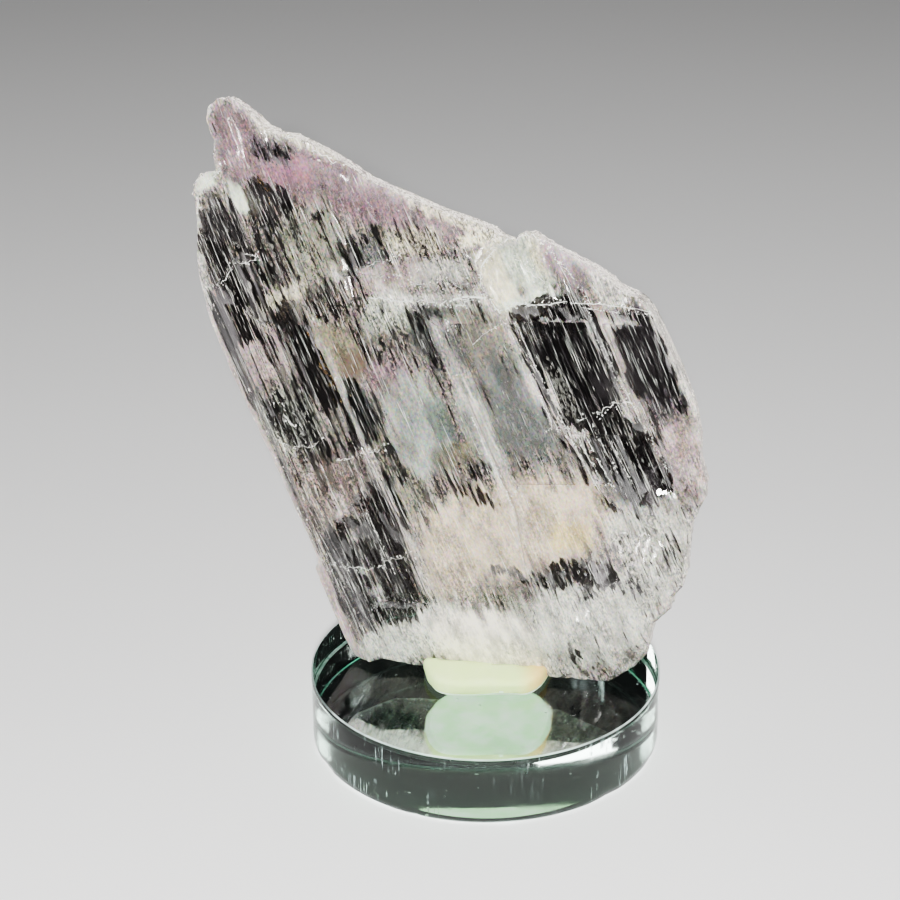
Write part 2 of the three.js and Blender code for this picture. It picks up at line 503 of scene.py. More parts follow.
TERRACES = (  # growth steps
    Terrace(25.2, 50.0, 4.9, 4.5, height=0.5), Terrace(20.9, 36.2, 0.6, 8.2, height=0.3),
    Terrace(10.6, 26.6, 0.3, 7.4, height=0.22), Terrace(13.4, 57.4, 11.0, 5.6, slant=-22, height=0.3),
    Terrace(34.6, 44.4, 7.0, 4.6, slant=-28.5, height=0.3),
    Terrace(-12.6, 31.6, 7.0, 3.4, slant=14, height=0.22),
    Terrace(-11.4, 79.0, 3.0, 2.2, slant=30, height=0.35), Terrace(32.0, 33.0, 0.8, 11.0, height=0.2),
    Terrace(-7.0, 83.0, 1.6, 5.0, height=0.4), Terrace(-2.6, 84.0, 1.2, 4.0, slant=8, height=0.3),
    Terrace(3.0, 74.4, 5.0, 0.8, slant=-38, height=0.25),
    Terrace(-12.4, 16.0, 6.6, 7.0, slant=6, height=-0.2),
    Terrace(8.0, 74.6, 12.0, 1.1, slant=-46, height=0.3),
)

MILKY_BEHIND = (  # ground where only the front face is clear; behind two of them the back carries painted shade
    Patch(8.0, 34.0, 8.0, 9.0), Patch(17.4, 40.0, 2.6, 9.0), Patch(-4.0, 58.0, 5.0, 3.0),
    Patch(28.6, 17.6, 4.0, 6.2), Patch(26.6, 42.4, 5.0, 2.6), Patch(-12.6, 18.6, 5.4, 7.0, 0.7),
)

GROUNDS = (  # growth zones and stains, with two patches of painted shade, laid one over the other
    Ground(9.0, 16.5, 13.0, 6.4, 0.9, -8, PEACH, 0.92, 0.85),
    Ground(-2.0, 15.0, 3.6, 5.0, 0.7, 0, PEACH, 0.7, 0.5),
    Ground(5.0, 71.0, 9.0, 4.2, 0.9, -38, PINK, 0.56, 0.8),
    Ground(-0.6, 75.4, 3.6, 2.0, 0.9, -24, ROSE, 0.62, 0.9),
    Ground(-5.0, 81.0, 3.2, 5.6, 0.9, 0, PINK, 0.56, 0.75),
    Ground(-1.4, 78.4, 2.9, 1.3, 0.9, -38, DUSK, 0.5, 0.1),
    Ground(-0.6, 83.4, 1.2, 3.2, 0.9, 12, CREAM, 0.85, 0.6),
    Ground(13.4, 62.4, 8.0, 2.8, 0.9, -42, PINK, 0.56, 0.5),
    Ground(-1.0, 64.0, 4.6, 5.0, 0.8, 0, MOSS, 0.66, 0.2),
    Ground(6.0, 60.0, 3.6, 2.6, 0.8, 0, STEEL, 0.38, 0.3),
    Ground(8.6, 55.6, 5.4, 1.9, 0.9, -12, PALE_PINK, 0.6, 0.7),
    Ground(12.6, 59.0, 3.6, 1.7, 0.7, -20, CREAM, 0.5, 0.2),
    Ground(-14.0, 53.2, 3.2, 3.4, 0.8, 0, PALE_PINK, 0.74, 0.3),
    Ground(-8.8, 59.2, 4.4, 1.2, 0.8, 6, CREAM, 0.66, 0.4),
    Ground(-14.0, 42.6, 3.4, 4.4, 0.9, 0, MINT, 0.36, 0.0),
    Ground(-5.6, 47.6, 1.9, 5.8, 1.0, 0, OLIVE, 0.9, 0.94),
    Ground(-2.8, 49.0, 2.0, 3.6, 0.9, 0, BROWN, 0.8, 0.6),
    Ground(-2.2, 46.3, 1.7, 1.8, 1.0, 0, RUST, 1.0, 0.9),
    Ground(-4.2, 40.0, 1.9, 4.0, 0.9, 0, SLATE, 0.5, 0.6),
    Ground(1.8, 43.2, 3.0, 2.2, 0.8, 0, PINK, 0.62, 0.5),
    Ground(-1.6, 31.0, 2.6, 6.0, 0.7, 0, MOSS, 0.55, 0.3),
    Ground(3.4, 35.0, 4.2, 6.4, 0.95, 0, ICE, 0.8, 0.92),
    Ground(6.2, 34.6, 1.6, 3.0, 0.8, 0, TEAL, 0.62, 0.85),
    Ground(6.6, 29.4, 2.8, 1.6, 0.8, 0, BROWN, 0.6, 0.4),
    Ground(11.0, 45.6, 3.8, 4.6, 0.9, 0, STEEL, 0.42, 0.5),
    Ground(16.4, 44.6, 3.4, 4.0, 0.9, 0, SAND, 0.66, 0.75),
    Ground(16.6, 32.0, 3.4, 7.6, 0.95, 0, STEEL, 0.66, 0.88),
    Ground(11.0, 32.0, 1.8, 7.0, 0.85, 0, ICE, 0.72, 0.88),
    Ground(5.4, 51.4, 3.4, 2.6, 0.8, 0, MINT, 0.5, 0.3),
    Ground(14.2, 53.6, 3.8, 1.8, 0.8, -16, SNOW, 0.66, 0.4),
    Ground(26.9, 36.2, 4.8, 8.0, 0.9, 0, STEEL, 0.3, 0.7),
    # painted shade: near-black frost on the back behind two windows, so they read dark
    Ground(28.6, 17.6, 3.6, 6.0, 0.95, 0, PAINTED_SHADE_BLACK, 0.95, 0.3),
    Ground(26.6, 42.6, 4.4, 2.4, 0.95, -14, PAINTED_SHADE_BLACK, 0.95, 0.5),
    Ground(-12.6, 18.6, 5.0, 6.4, 0.6, 0, SLATE, 0.6, 0.0),
    Ground(16.6, 12.6, 2.6, 1.7, 0.9, -25, YELLOW, 0.8, 0.8),
    Ground(-13.0, 31.4, 4.4, 5.4, 0.8, 0, BLUSH, 0.5, 0.1),
    Ground(-10.0, 7.6, 8.0, 3.4, 1.0, 0, SNOW, 0.95, 0.3),
    Ground(0.4, 2.0, 9.0, 4.4, 1.0, -28, SHELL, 1.0, 0.75),
    Ground(15.0, 0.4, 10.0, 6.0, 0.9, 0, SNOW, 0.84, 0.45),
    Ground(27.6, 7.0, 6.0, 6.4, 0.8, 0, SNOW, 0.8, 0.2),
    Ground(25.6, 50.6, 3.4, 4.4, 1.0, 0, MINT, 0.72, 0.7),
    Ground(21.4, 49.4, 1.6, 4.6, 0.9, 0, CREAM, 0.92, 0.9),
    Ground(28.3, 51.2, 1.2, 2.6, 0.9, 0, CREAM, 0.92, 0.6),
    Ground(31.6, 47.8, 2.0, 5.2, 0.95, 32, LILAC, 0.72, 0.85),
    Ground(35.4, 42.4, 3.2, 2.4, 0.8, -34, SNOW, 0.66, 0.4),
    Ground(32.4, 31.0, 1.0, 13.0, 0.9, 0, BLUSH, 0.74, 0.7),
    Ground(36.4, 32.0, 2.4, 7.0, 0.9, 0, DUSK, 0.3, 0.45),
    Ground(35.6, 17.0, 3.0, 5.6, 0.9, 0, PALE_PINK, 0.72, 0.5),
    Ground(36.0, 25.6, 2.6, 2.6, 0.9, 0, DUSK, 0.4, 0.1),
    Ground(39.4, 32.0, 0.7, 9.0, 0.8, 0, SNOW, 0.8, 0.3),
    Ground(-19.5, 45.0, 0.9, 40.0, 0.9, 0, PALE_PINK, 0.86, 0.9),
    Ground(-16.6, 68.0, 0.8, 6.4, 0.8, -18, SNOW, 0.7, 0.5),
    Ground(-11.6, 78.2, 1.8, 1.0, 1.0, 30, MINT, 0.95, 0.9),
    Ground(-8.1, 74.0, 0.8, 2.2, 1.0, 0, MINT, 0.95, 0.95),
    Ground(24.4, 45.4, 4.2, 0.7, 0.9, -10, MINT, 0.95, 0.7),
    Ground(12.0, 50.4, 7.4, 0.9, 0.8, -22, SNOW, 0.7, 0.4),
    Ground(4.4, 76.8, 4.4, 0.8, 0.8, -45, CREAM, 0.9, 0.2),
    Ground(11.6, 69.0, 5.4, 0.9, 0.8, -50, CREAM, 0.9, 0.2),
    Ground(19.4, 59.8, 6.4, 1.2, 0.8, -44, CREAM, 0.85, 0.1),
    Ground(21.4, 55.8, 3.0, 0.9, 0.9, -8, CREAM, 0.9, 0.0),
)

ETCHED = (  # rounded, lumpy ground left by natural etching
    Patch(20.0, 1.0, 15.0, 8.0, 1.0), Patch(33.0, 6.6, 7.0, 5.0, 1.0), Patch(-4.5, 84.0, 5.0, 5.0, 0.8),
    Patch(-12.0, 79.0, 4.0, 2.5, 0.6), Patch(25.0, 51.0, 5.0, 4.0, 0.5),
)


def zones(patches: tuple[Patch, ...], across: np.ndarray, along: np.ndarray,
          ragged: np.ndarray, soft: float = 0.5) -> np.ndarray:
    """The strongest of some patches at each point.

    Args:
        patches: the patches.
        across: places across the long axis.
        along: places along it.
        ragged: noise about 0 that breaks their edges.
        soft: how wide their edges fade, as a share of their half size.

    Returns:
        An amount from 0 to 1 for each point.
    """
    amount = np.zeros_like(across)
    for patch in patches:
        amount = np.maximum(amount, patch.amount * patch.cover(across, along, ragged, soft))
    return amount


# ---- finishes -----------------------------------------------------------------------
class Finish:
    """What the finishes share: a named material, filled by each one's own recipe."""

    name: str

    def build(self) -> bpy.types.Material:
        """Makes the material.

        Returns:
            The finished material.
        """
        made = bpy.data.materials.new(self.name)
        made.use_nodes = True
        self.mix(Recipe(made.node_tree))
        return made

    def mix(self, recipe: Recipe) -> None:
        """Fills the material's tree, in each finish's own way."""
        raise NotImplementedError


@dataclass(frozen=True)
class KunziteFinish(Finish):
    """Pale pink spodumene: clear striated windows between frosted, etched ground."""

    name = "kunzite"
    index: float = 1.66
    absorbs: Absorption = Absorption((0.52, 0.47, 0.50), 110.0)
    clear: Colour = (1.0, 0.99, 0.995)
    # partly painted highlight: the near-white that the frost takes on along the striation crests
    crest_white_and_highlight: Colour = (0.97, 0.96, 0.88)
    clear_roughness: float = 0.015
    window_roughness: float = 0.16  # of clear crystal in the ground between windows
    frost_roughness: float = 0.55
    relief: float = 0.00012  # m

    def crystal_place(self, recipe: Recipe) -> Socket:
        """The place on the crystal in its own millimetres.

        Args:
            recipe: the material's recipe.

        Returns:
            A vector: across, along and out.
        """
        place = recipe.node("Mapping", vector_type="TEXTURE")
        recipe.feed(place.inputs["Vector"], recipe.where())
        place.inputs["Location"].default_value = Vector(AXES.seat) * MM
        place.inputs["Rotation"].default_value = AXES.rotation().to_euler()
        place.inputs["Scale"].default_value = (MM, MM, MM)
        return place.outputs[0]

    @staticmethod
    def layer(recipe: Recipe, place: Socket, layer: StriationLayer) -> Socket:
        """One layer of striation, about 0.

        Args:
            recipe: the material's recipe.
            place: the place on the crystal in millimetres.
            layer: the layer's grain and weight.

        Returns:
            The height of the layer.
        """
        stretched = recipe.stretch(place, (layer.across, layer.along, layer.across))
        height = recipe.math("SUBTRACT", recipe.grain(stretched, 1.0, layer.octaves, 0.6), 0.5)
        return recipe.math("MULTIPLY", height, layer.weight)

    def mix(self, recipe: Recipe) -> None:
        """Lays broken frost over clear crystal.

        Args:
            recipe: the material's recipe.
        """
        place = self.crystal_place(recipe)
        window, milk, calm = (recipe.painted(name) for name in ("window", "milk", "calm"))
        tint = recipe.painted("tint", "Color")

        combed = self.layer(recipe, place, COMBED)
        first, second, third = (self.layer(recipe, place, entry) for entry in STRIATION)
        level = recipe.math("ADD", recipe.math("ADD", first, second), third)
        crumbs = recipe.noise(recipe.stretch(place, (3.6, 2.0, 3.6)), 1.0, 3.0, 0.7)
        crumb = recipe.math("SUBTRACT", crumbs.outputs["Fac"], 0.5)
        cloud = recipe.grain(recipe.stretch(place, (0.42, 0.2, 0.42)), 1.0, 4.0, 0.62)
        patches = recipe.grain(recipe.stretch(place, (0.3, 0.16, 0.3)), 1.0, 3.0, 0.6)
        lively = recipe.math("MULTIPLY_ADD", calm, -0.94, 1.0)

        # the ground opens along the striation: the window attribute says how much of it is open
        broken = recipe.math("MULTIPLY_ADD", level, 0.26, recipe.math("MULTIPLY", combed, 0.74))
        broken = recipe.math("MULTIPLY_ADD", crumb, 1.0, broken)
        torn = recipe.math("MULTIPLY_ADD", broken, lively, window)
        opened = recipe.between(torn, 0.41, 0.66)

        # haze fills the ground, and white crests of frost run along the striation where it is lively; their
        # colour is whitened further as a painted highlight
        lively = recipe.math("MULTIPLY", lively, recipe.between(patches, 0.40, 0.58, 0.4, 1.0))
        speckle = recipe.math("MULTIPLY_ADD", crumb, 3.2, recipe.math("MULTIPLY", level, 0.42))
        haze = recipe.math("MULTIPLY", milk, recipe.between(cloud, 0.30, 0.70, 0.6, 1.15))
        haze = recipe.math("MULTIPLY_ADD", speckle, lively, haze, clamp=True)
        haze = recipe.math("MULTIPLY", haze, recipe.math("MULTIPLY_ADD", opened, -0.975, 1.0))
        frost_and_highlight_crest = recipe.between(recipe.math("MULTIPLY_ADD", combed, 0.8, level), 0.75, 1.3)
        frost_and_highlight_crest = recipe.math("MULTIPLY", frost_and_highlight_crest, lively)
        dash = recipe.math("MULTIPLY", frost_and_highlight_crest, recipe.math("MULTIPLY_ADD", opened, -0.16, 0.56))
        frost = recipe.math("ADD", haze, dash, clamp=True)

        body = recipe.blend(1.0, tint, crumbs.outputs["Color"], "OVERLAY")
        # painted highlight: along the crests the frost's colour is whitened, on top of its own white
        body = recipe.blend(recipe.math("MULTIPLY", frost_and_highlight_crest, 0.75), body, self.crest_white_and_highlight)
        height = recipe.math("ADD", recipe.math("MULTIPLY", level, 0.25), crumbs.outputs["Fac"])
        normal = recipe.bump(recipe.math("MULTIPLY", height, lively), self.relief, 0.55)
        polish = recipe.between(window, 0.2, 0.9, self.window_roughness, self.clear_roughness)
        clear = recipe.principled(
            Base_Color=self.clear, Roughness=polish, IOR=self.index, Transmission_Weight=1.0)
        frosted = recipe.principled(
            Base_Color=body, Roughness=self.frost_roughness, IOR=1.5, Normal=normal,
            Specular_IOR_Level=0.6)
        recipe.output(recipe.mixed(frost, clear, frosted), self.absorbs)


@dataclass(frozen=True)
class RidgeFinish(Finish):
    """White frosted growth ridges and healed scars that stand on the clear faces."""

    name = "frosted_ridges"
    colour: Colour = (0.93, 0.92, 0.88)
    cool: Colour = (0.78, 0.82, 0.78)

    def mix(self, recipe: Recipe) -> None:
        """Drifts a fine white grain towards a cooler one.

        Args:
            recipe: the material's recipe.
        """
        where = recipe.where()
        grain = recipe.grain(where, 1400.0, 3.0, 0.6)
        drift = recipe.between(recipe.grain(where, 90.0, 3.0, 0.6), 0.35, 0.65)
        recipe.output(recipe.principled(
            Base_Color=recipe.blend(drift, self.colour, self.cool),
            Roughness=recipe.between(grain, 0.3, 0.7, 0.3, 0.55),
            Normal=recipe.bump(grain, 0.00003, 0.5)))


@dataclass(frozen=True)
class FlakeFinish(Finish):
    """Thin flakes and films of the crystal, white or stained by iron."""

    name: str
    colour: Colour
    dark: Colour

    def mix(self, recipe: Recipe) -> None:
        """Mottles the flakes between their two colours.

        Args:
            recipe: the material's recipe.
        """
        mottle = recipe.grain(recipe.where(), 900.0, 4.0, 0.65)
        recipe.output(recipe.principled(
            Base_Color=recipe.blend(recipe.between(mottle, 0.38, 0.62), self.dark, self.colour),
            Roughness=recipe.between(mottle, 0.3, 0.7, 0.25, 0.5),
            Normal=recipe.bump(mottle, 0.00004, 0.5)))


@dataclass(frozen=True)
class BaseGlassFinish(Finish):
    """Clear glass with a faint green in its depth, scuffed round the wall."""

    name = "clear_glass"
    index: float = 1.52
    absorbs: Absorption = Absorption((0.55, 0.84, 0.75), 6.0)
    colour: Colour = (0.985, 1.0, 0.99)
    scuff: Colour = (0.70, 0.90, 0.88)
    radius: float = 0.025  # m
    wall: Point = (0.0244, 0.0248)  # m from the axis, where the scuffed wall begins
    spared: Point = (0.004, 0.013)  # m to either side, between which the scuffs grow
    dust: float = 700.0  # specks' cells for each metre

    def mix(self, recipe: Recipe) -> None:
        """Wraps upright scuffs round the wall of the glass and strews dust on it.

        Args:
            recipe: the material's recipe.
        """
        where = recipe.where()
        split = recipe.node("SeparateXYZ")
        recipe.feed(split.inputs[0], where)
        bearing = recipe.math("ARCTAN2", split.outputs["Y"], split.outputs["X"])
        wrap = recipe.node("CombineXYZ")
        recipe.feed(wrap.inputs[0], recipe.math("MULTIPLY", bearing, self.radius))
        recipe.feed(wrap.inputs[2], split.outputs["Z"])
        scratches = recipe.grain(recipe.stretch(wrap.outputs[0], (3400.0, 1.0, 150.0)), 1.0, 3.0, 0.7)
        worn = recipe.grain(recipe.stretch(wrap.outputs[0], (160.0, 1.0, 260.0)), 1.0, 3.0, 0.6)
        lines = recipe.math(
            "MULTIPLY", recipe.between(scratches, 0.56, 0.66), recipe.between(worn, 0.50, 0.62))
        distance = recipe.node("VectorMath", operation="LENGTH")
        recipe.feed(distance.inputs[0], recipe.stretch(where, (1.0, 1.0, 0.0)))
        on_wall = recipe.between(distance.outputs["Value"], *self.wall)
        aside = recipe.between(recipe.math("ABSOLUTE", split.outputs["X"]), *self.spared, 0.2, 1.0)
        scuffs = recipe.math("MULTIPLY", recipe.math("MULTIPLY", lines, aside), on_wall)
        specks = recipe.math("MULTIPLY", Dust.specks(recipe, where, self.dust), 0.3)
        clear = recipe.principled(
            Base_Color=self.colour, IOR=self.index, Transmission_Weight=1.0,
            Roughness=recipe.math("ADD", recipe.math("MULTIPLY", scuffs, 0.35), specks),
            Normal=recipe.bump(scuffs, 0.00006, 0.7))
        bruised = recipe.principled(Base_Color=self.scuff, Roughness=0.5)
        recipe.output(recipe.mixed(recipe.math("MULTIPLY", scuffs, 0.75), clear, bruised), self.absorbs)


@dataclass(frozen=True)
class GroundEdgeFinish(Finish):
    """The narrow ground bevels of the glass, white with a breath of green."""

    name = "ground_edge"
    index: float = 1.52
    colour: Colour = (0.80, 0.93, 0.90)

    def mix(self, recipe: Recipe) -> None:
        """Wears the ground glass through to clear glass in places.

        Args:
            recipe: the material's recipe.
        """
        where = recipe.where()
        grain = recipe.grain(where, 1500.0, 3.0, 0.6)
        wear = recipe.between(recipe.grain(where, 160.0, 3.0, 0.6), 0.35, 0.65, 0.15, 0.8)
        clear = recipe.principled(Base_Color=self.colour, Roughness=0.35, IOR=self.index,
                                  Transmission_Weight=1.0, Normal=recipe.bump(grain, 0.00005, 0.5))
        ground = recipe.principled(Base_Color=self.colour, Roughness=0.6)
        recipe.output(recipe.mixed(wear, clear, ground))


@dataclass(frozen=True)
class SilveringFinish(Finish):
    """The mirror laid on the underside of the glass."""

    name = "silvered_underside"
    colour: Colour = (0.84, 0.89, 0.87)
    faded: float = 0.9  # how bright the clouded parts are
    dust: float = 520.0  # specks' cells for each metre

    def mix(self, recipe: Recipe) -> None:
        """Clouds the silver and strews dust on it.

        Args:
            recipe: the material's recipe.
        """
        where = recipe.where()
        cloud = recipe.grain(where, 140.0, 4.0, 0.6)
        specks = recipe.math("MULTIPLY", Dust.specks(recipe, where, self.dust), 0.4)
        faded = tuple(self.faded * part for part in self.colour)
        recipe.output(recipe.principled(
            Base_Color=recipe.blend(recipe.between(cloud, 0.35, 0.75), self.colour, faded),
            Roughness=recipe.math("ADD", recipe.between(cloud, 0.3, 0.8, 0.02, 0.10), specks),
            Metallic=1.0))


@dataclass(frozen=True)
class PuttyFinish(Finish):
    """Soft pale yellow-green mounting putty, warmer where it is thin."""

    name = "putty"
    colour: Colour = (0.74, 0.92, 0.42)
    warm: Colour = (0.98, 0.66, 0.24)
    pale: Colour = (0.84, 0.95, 0.62)
    thin: Point = (0.0060, 0.0098)  # m to the right, between which it grows warmer
    depth: Triple = (0.0016, 0.0016, 0.0009)  # m that red, green and blue light go in
    painted_glow: float = 0.3  # painted glow: emission that stands in for the light the crystal and the glass send into it

    def mix(self, recipe: Recipe) -> None:
        """Warms the pad's thin right end and dimples it all over.

        Args:
            recipe: the material's recipe.
        """
        where = recipe.where()
        split = recipe.node("SeparateXYZ")
        recipe.feed(split.inputs[0], where)
        soft = recipe.grain(where, 260.0, 4.0, 0.6)
        grain = recipe.grain(where, 2600.0, 3.0, 0.6)
        edge = recipe.math("ADD", split.outputs["X"], recipe.math("MULTIPLY", soft, 0.004))
        colour = recipe.blend(recipe.between(edge, *self.thin, 0.0, 0.9), self.colour, self.warm)
        colour = recipe.blend(recipe.between(soft, 0.35, 0.75, 0.0, 0.35), colour, self.pale)
        height = recipe.math("ADD", soft, recipe.math("MULTIPLY", grain, 0.12))
        recipe.output(recipe.principled(
            Base_Color=colour, Roughness=recipe.between(soft, 0.3, 0.7, 0.42, 0.62), IOR=1.45,
            Subsurface_Weight=0.35, Subsurface_Radius=self.depth, Subsurface_Scale=1.0,
            # painted glow: the putty emits its own colour
            Emission_Color=colour, Emission_Strength=self.painted_glow,
            Normal=recipe.bump(height, 0.0003, 0.5)))


@dataclass(frozen=True)
class PressedPuttyFinish(Finish):
    """The putty's sole, wetted out against the glass, with a painted glow for the light it gathers."""

    name = "pressed_putty"
    colour: Colour = (0.66, 0.92, 0.58)
    pale: Colour = (0.86, 0.96, 0.80)
    # painted glow: how strongly the sole emits its own colour
    painted_glow: float = 0.7

    def mix(self, recipe: Recipe) -> None:
        """Blotches the sole between its two colours.

        Args:
            recipe: the material's recipe.
        """
        soft = recipe.grain(recipe.where(), 220.0, 3.0, 0.55)
        colour = recipe.blend(recipe.between(soft, 0.35, 0.7), self.colour, self.pale)
        recipe.output(recipe.principled(
            Base_Color=colour, Roughness=recipe.between(soft, 0.3, 0.7, 0.4, 0.6),
            # painted glow: the sole emits its own colour
            Emission_Color=colour, Emission_Strength=self.painted_glow))


@dataclass(frozen=True)
class FloorFinish(Finish):
    """The plain pale floor."""

    name = "pale_floor"
    colour: Colour = (0.86, 0.855, 0.85)

    def mix(self, recipe: Recipe) -> None:
        """Makes one plain, nearly dull shader."""
        recipe.output(recipe.principled(Base_Color=self.colour, Roughness=0.85, Specular_IOR_Level=0.2))


# ---- pieces -------------------------------------------------------------------------
def wave(x: float, y: float, z: float) -> float:
    """Smooth noise about 0 at a point."""
    return noise.noise(Vector((x, y, z)))


def placed(name: str, data: bpy.types.ID) -> bpy.types.Object:
    """Makes an object and links it to the scene.

    Args:
        name: the object's name.
        data: its mesh, light or camera.

    Returns:
        The object.
    """
    made = bpy.data.objects.new(name, data)
    bpy.context.scene.collection.objects.link(made)
    return made


def solid(name: str, bm: bmesh.types.BMesh, *finishes: Finish) -> bpy.types.Object:
    """Turns a bmesh in frame metres into an object.

    Args:
        name: the object's name.
        bm: the bmesh, freed here.
        *finishes: what it is made of, in slot order.

    Returns:
        The object.
    """
    mesh = bpy.data.meshes.new(name)
    bm.to_mesh(mesh)
    bm.free()
    for finish in finishes:
        mesh.materials.append(finish.build())
    return placed(name, mesh)


def show(name: str, bm: bmesh.types.BMesh, *finishes: Finish) -> bpy.types.Object:
    """Turns a bmesh in frame metres into a piece that rides on the body.

    Args:
        name: the piece's name.
        bm: the bmesh, freed here.
        *finishes: what it is made of, in slot order.

    Returns:
        The piece.
    """
    piece = solid(name, bm, *finishes)
    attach(piece, BODY)
    return piece


def cad_mesh(node: str, flat: float) -> bmesh.types.BMesh:
    """Copies a node of the frame, with its flat faces whole again.

    Args:
        node: the node's name.
        flat: degrees, below which neighbouring faces count as flat.

    Returns:
        The copy, in frame metres.
    """
    bm = bmesh.new()
    bm.from_mesh(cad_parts[node].data)
    bmesh.ops.remove_doubles(bm, verts=bm.verts, dist=1e-7)
    bmesh.ops.dissolve_limit(bm, angle_limit=math.radians(flat), verts=bm.verts, edges=bm.edges)
    return bm


def cut_at(bm: bmesh.types.BMesh, axis: int, place: float) -> None:
    """Cuts a mesh by one plane and keeps both sides.

    Args:
        bm: the mesh.
        axis: the axis that the plane is square to.
        place: where the plane crosses it.
    """
    square = Vector([float(k == axis) for k in range(3)])
    bmesh.ops.bisect_plane(bm, geom=[*bm.verts, *bm.edges, *bm.faces], dist=1e-9,
                           plane_co=square * place, plane_no=square)


@dataclass
class GlassBase:
    """The round slab of glass with its ground edges and silvered underside."""

    radius: float = 25.0
    thickness: float = 10.4
    arris: float = 0.4
    top_arris: float = 0.2
    steps: int = 256
    rings: int = 12  # of faces, up the wall
    chips: tuple[Triple, ...] = (  # bearing and half breadth in degrees, depth in mm
        (206, 5, 0.35), (247, 2, 0.2), (312, 6, 0.4), (338, 3, 0.25),
        (20, 4, 0.3), (95, 5, 0.35), (150, 3, 0.2),
    )

    def build(self) -> bpy.types.Object:
        """Spins the slab's section and chips its lower rim.

        Returns:
            The piece.
        """
        bm = bmesh.new()
        inner, top = self.radius - self.arris, self.thickness
        rise = top - self.arris - self.top_arris
        wall = [(self.radius, self.arris + rise * k / self.rings) for k in range(1, self.rings)]
        section = [(0, 0), (inner * 0.5, 0), (inner, 0), (self.radius, self.arris), *wall,
                   (self.radius, top - self.top_arris), (self.radius - self.top_arris, top),
                   (inner * 0.5, top), (0, top)]
        points = [bm.verts.new((r * MM, 0, z * MM)) for r, z in section]
        edges = [bm.edges.new(pair) for pair in zip(points, points[1:])]
        bmesh.ops.spin(bm, geom=points + edges, cent=(0, 0, 0), axis=(0, 0, 1), angle=math.tau,
                       steps=self.steps, use_merge=True)
        bmesh.ops.remove_doubles(bm, verts=bm.verts, dist=1e-7)
        bmesh.ops.recalc_face_normals(bm, faces=bm.faces)
        for v in bm.verts:
            at_rim = math.hypot(v.co.x, v.co.y) / MM >= inner - 0.1
            if at_rim and v.co.z / MM < 2 * self.arris:
                self._bite(v)
        for face in bm.faces:
            slope = abs(face.normal.z)
            face.smooth = slope < 0.2
            face.material_index = 1 if face.normal.z < -0.99 else 2 if 0.2 < slope < 0.9 else 0
        piece = show("glass_slab", bm, BaseGlassFinish(), SilveringFinish(), GroundEdgeFinish())
        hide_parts("glass_base")
        return piece

    def _bite(self, v: bmesh.types.BMVert) -> None:
        """Draws a point of the lower rim in where a chip is missing.

        Args:
            v: the point.
        """
        bearing = math.degrees(math.atan2(v.co.y, v.co.x)) % 360
        for centre, breadth, depth in self.chips:
            off = abs(bearing - centre) / breadth
            if off < 1:
                bite = depth * (1 - off) * (0.6 + 0.8 * wave(bearing, centre, 0))
                v.co.x *= 1 - bite / self.radius
                v.co.y *= 1 - bite / self.radius


@dataclass
class MountingPutty:
    """The pressed pad that holds the foot of the crystal."""

    cut: float = 0.6  # mm between the cuts that give the pad vertices to work
    dent: float = 0.22  # mm
    proud: float = 0.15  # the height of noise past which the surface isn't dented
    sunk: float = 0.05  # mm, so the sole is wetted out against the glass with no air between
    sole: float = 0.05  # mm, the height below which a point belongs to the sole
    point: float = 0.3  # how far the front draws back to a point at the right end
    straight: float = 5.0  # mm, where it starts to draw back

    def build(self) -> bpy.types.Object:
        """Works the pad's plain solid into a softer, pressed one.

        Returns:
            The piece.
        """
        bm = cad_mesh("mounting_putty", 0.5)
        low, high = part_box("mounting_putty")
        pitch = self.cut * MM
        for axis in range(3):
            for step in range(1, int((high[axis] - low[axis]) / pitch)):
                cut_at(bm, axis, low[axis] + step * pitch)
        bm.normal_update()
        moves = []
        for v in bm.verts:
            soft = noise.noise(v.co / (3.2 * MM)) + 0.5 * noise.noise(v.co / (1.3 * MM))
            dent = v.normal * (min(soft, self.proud) - self.proud) * self.dent * MM
            on_sole = v.co.z - low.z < self.sole * MM
            moves.append(Vector((0, 0, -self.sunk * MM)) if on_sole else dent)
        for v, move in zip(bm.verts, moves):
            v.co += move
            end = max(0.0, (v.co.x - self.straight * MM) / (high.x - self.straight * MM))
            v.co.y += self.point * end * end * (high.y - v.co.y)
        bm.normal_update()
        for face in bm.faces:
            face.smooth = True
            # downward faces, the sole and the overhang, take the pressed finish with its painted glow
            face.material_index = int(face.normal.z < -0.25)
        piece = show("putty_pad", bm, PuttyFinish(), PressedPuttyFinish())
        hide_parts("mounting_putty")
        return piece


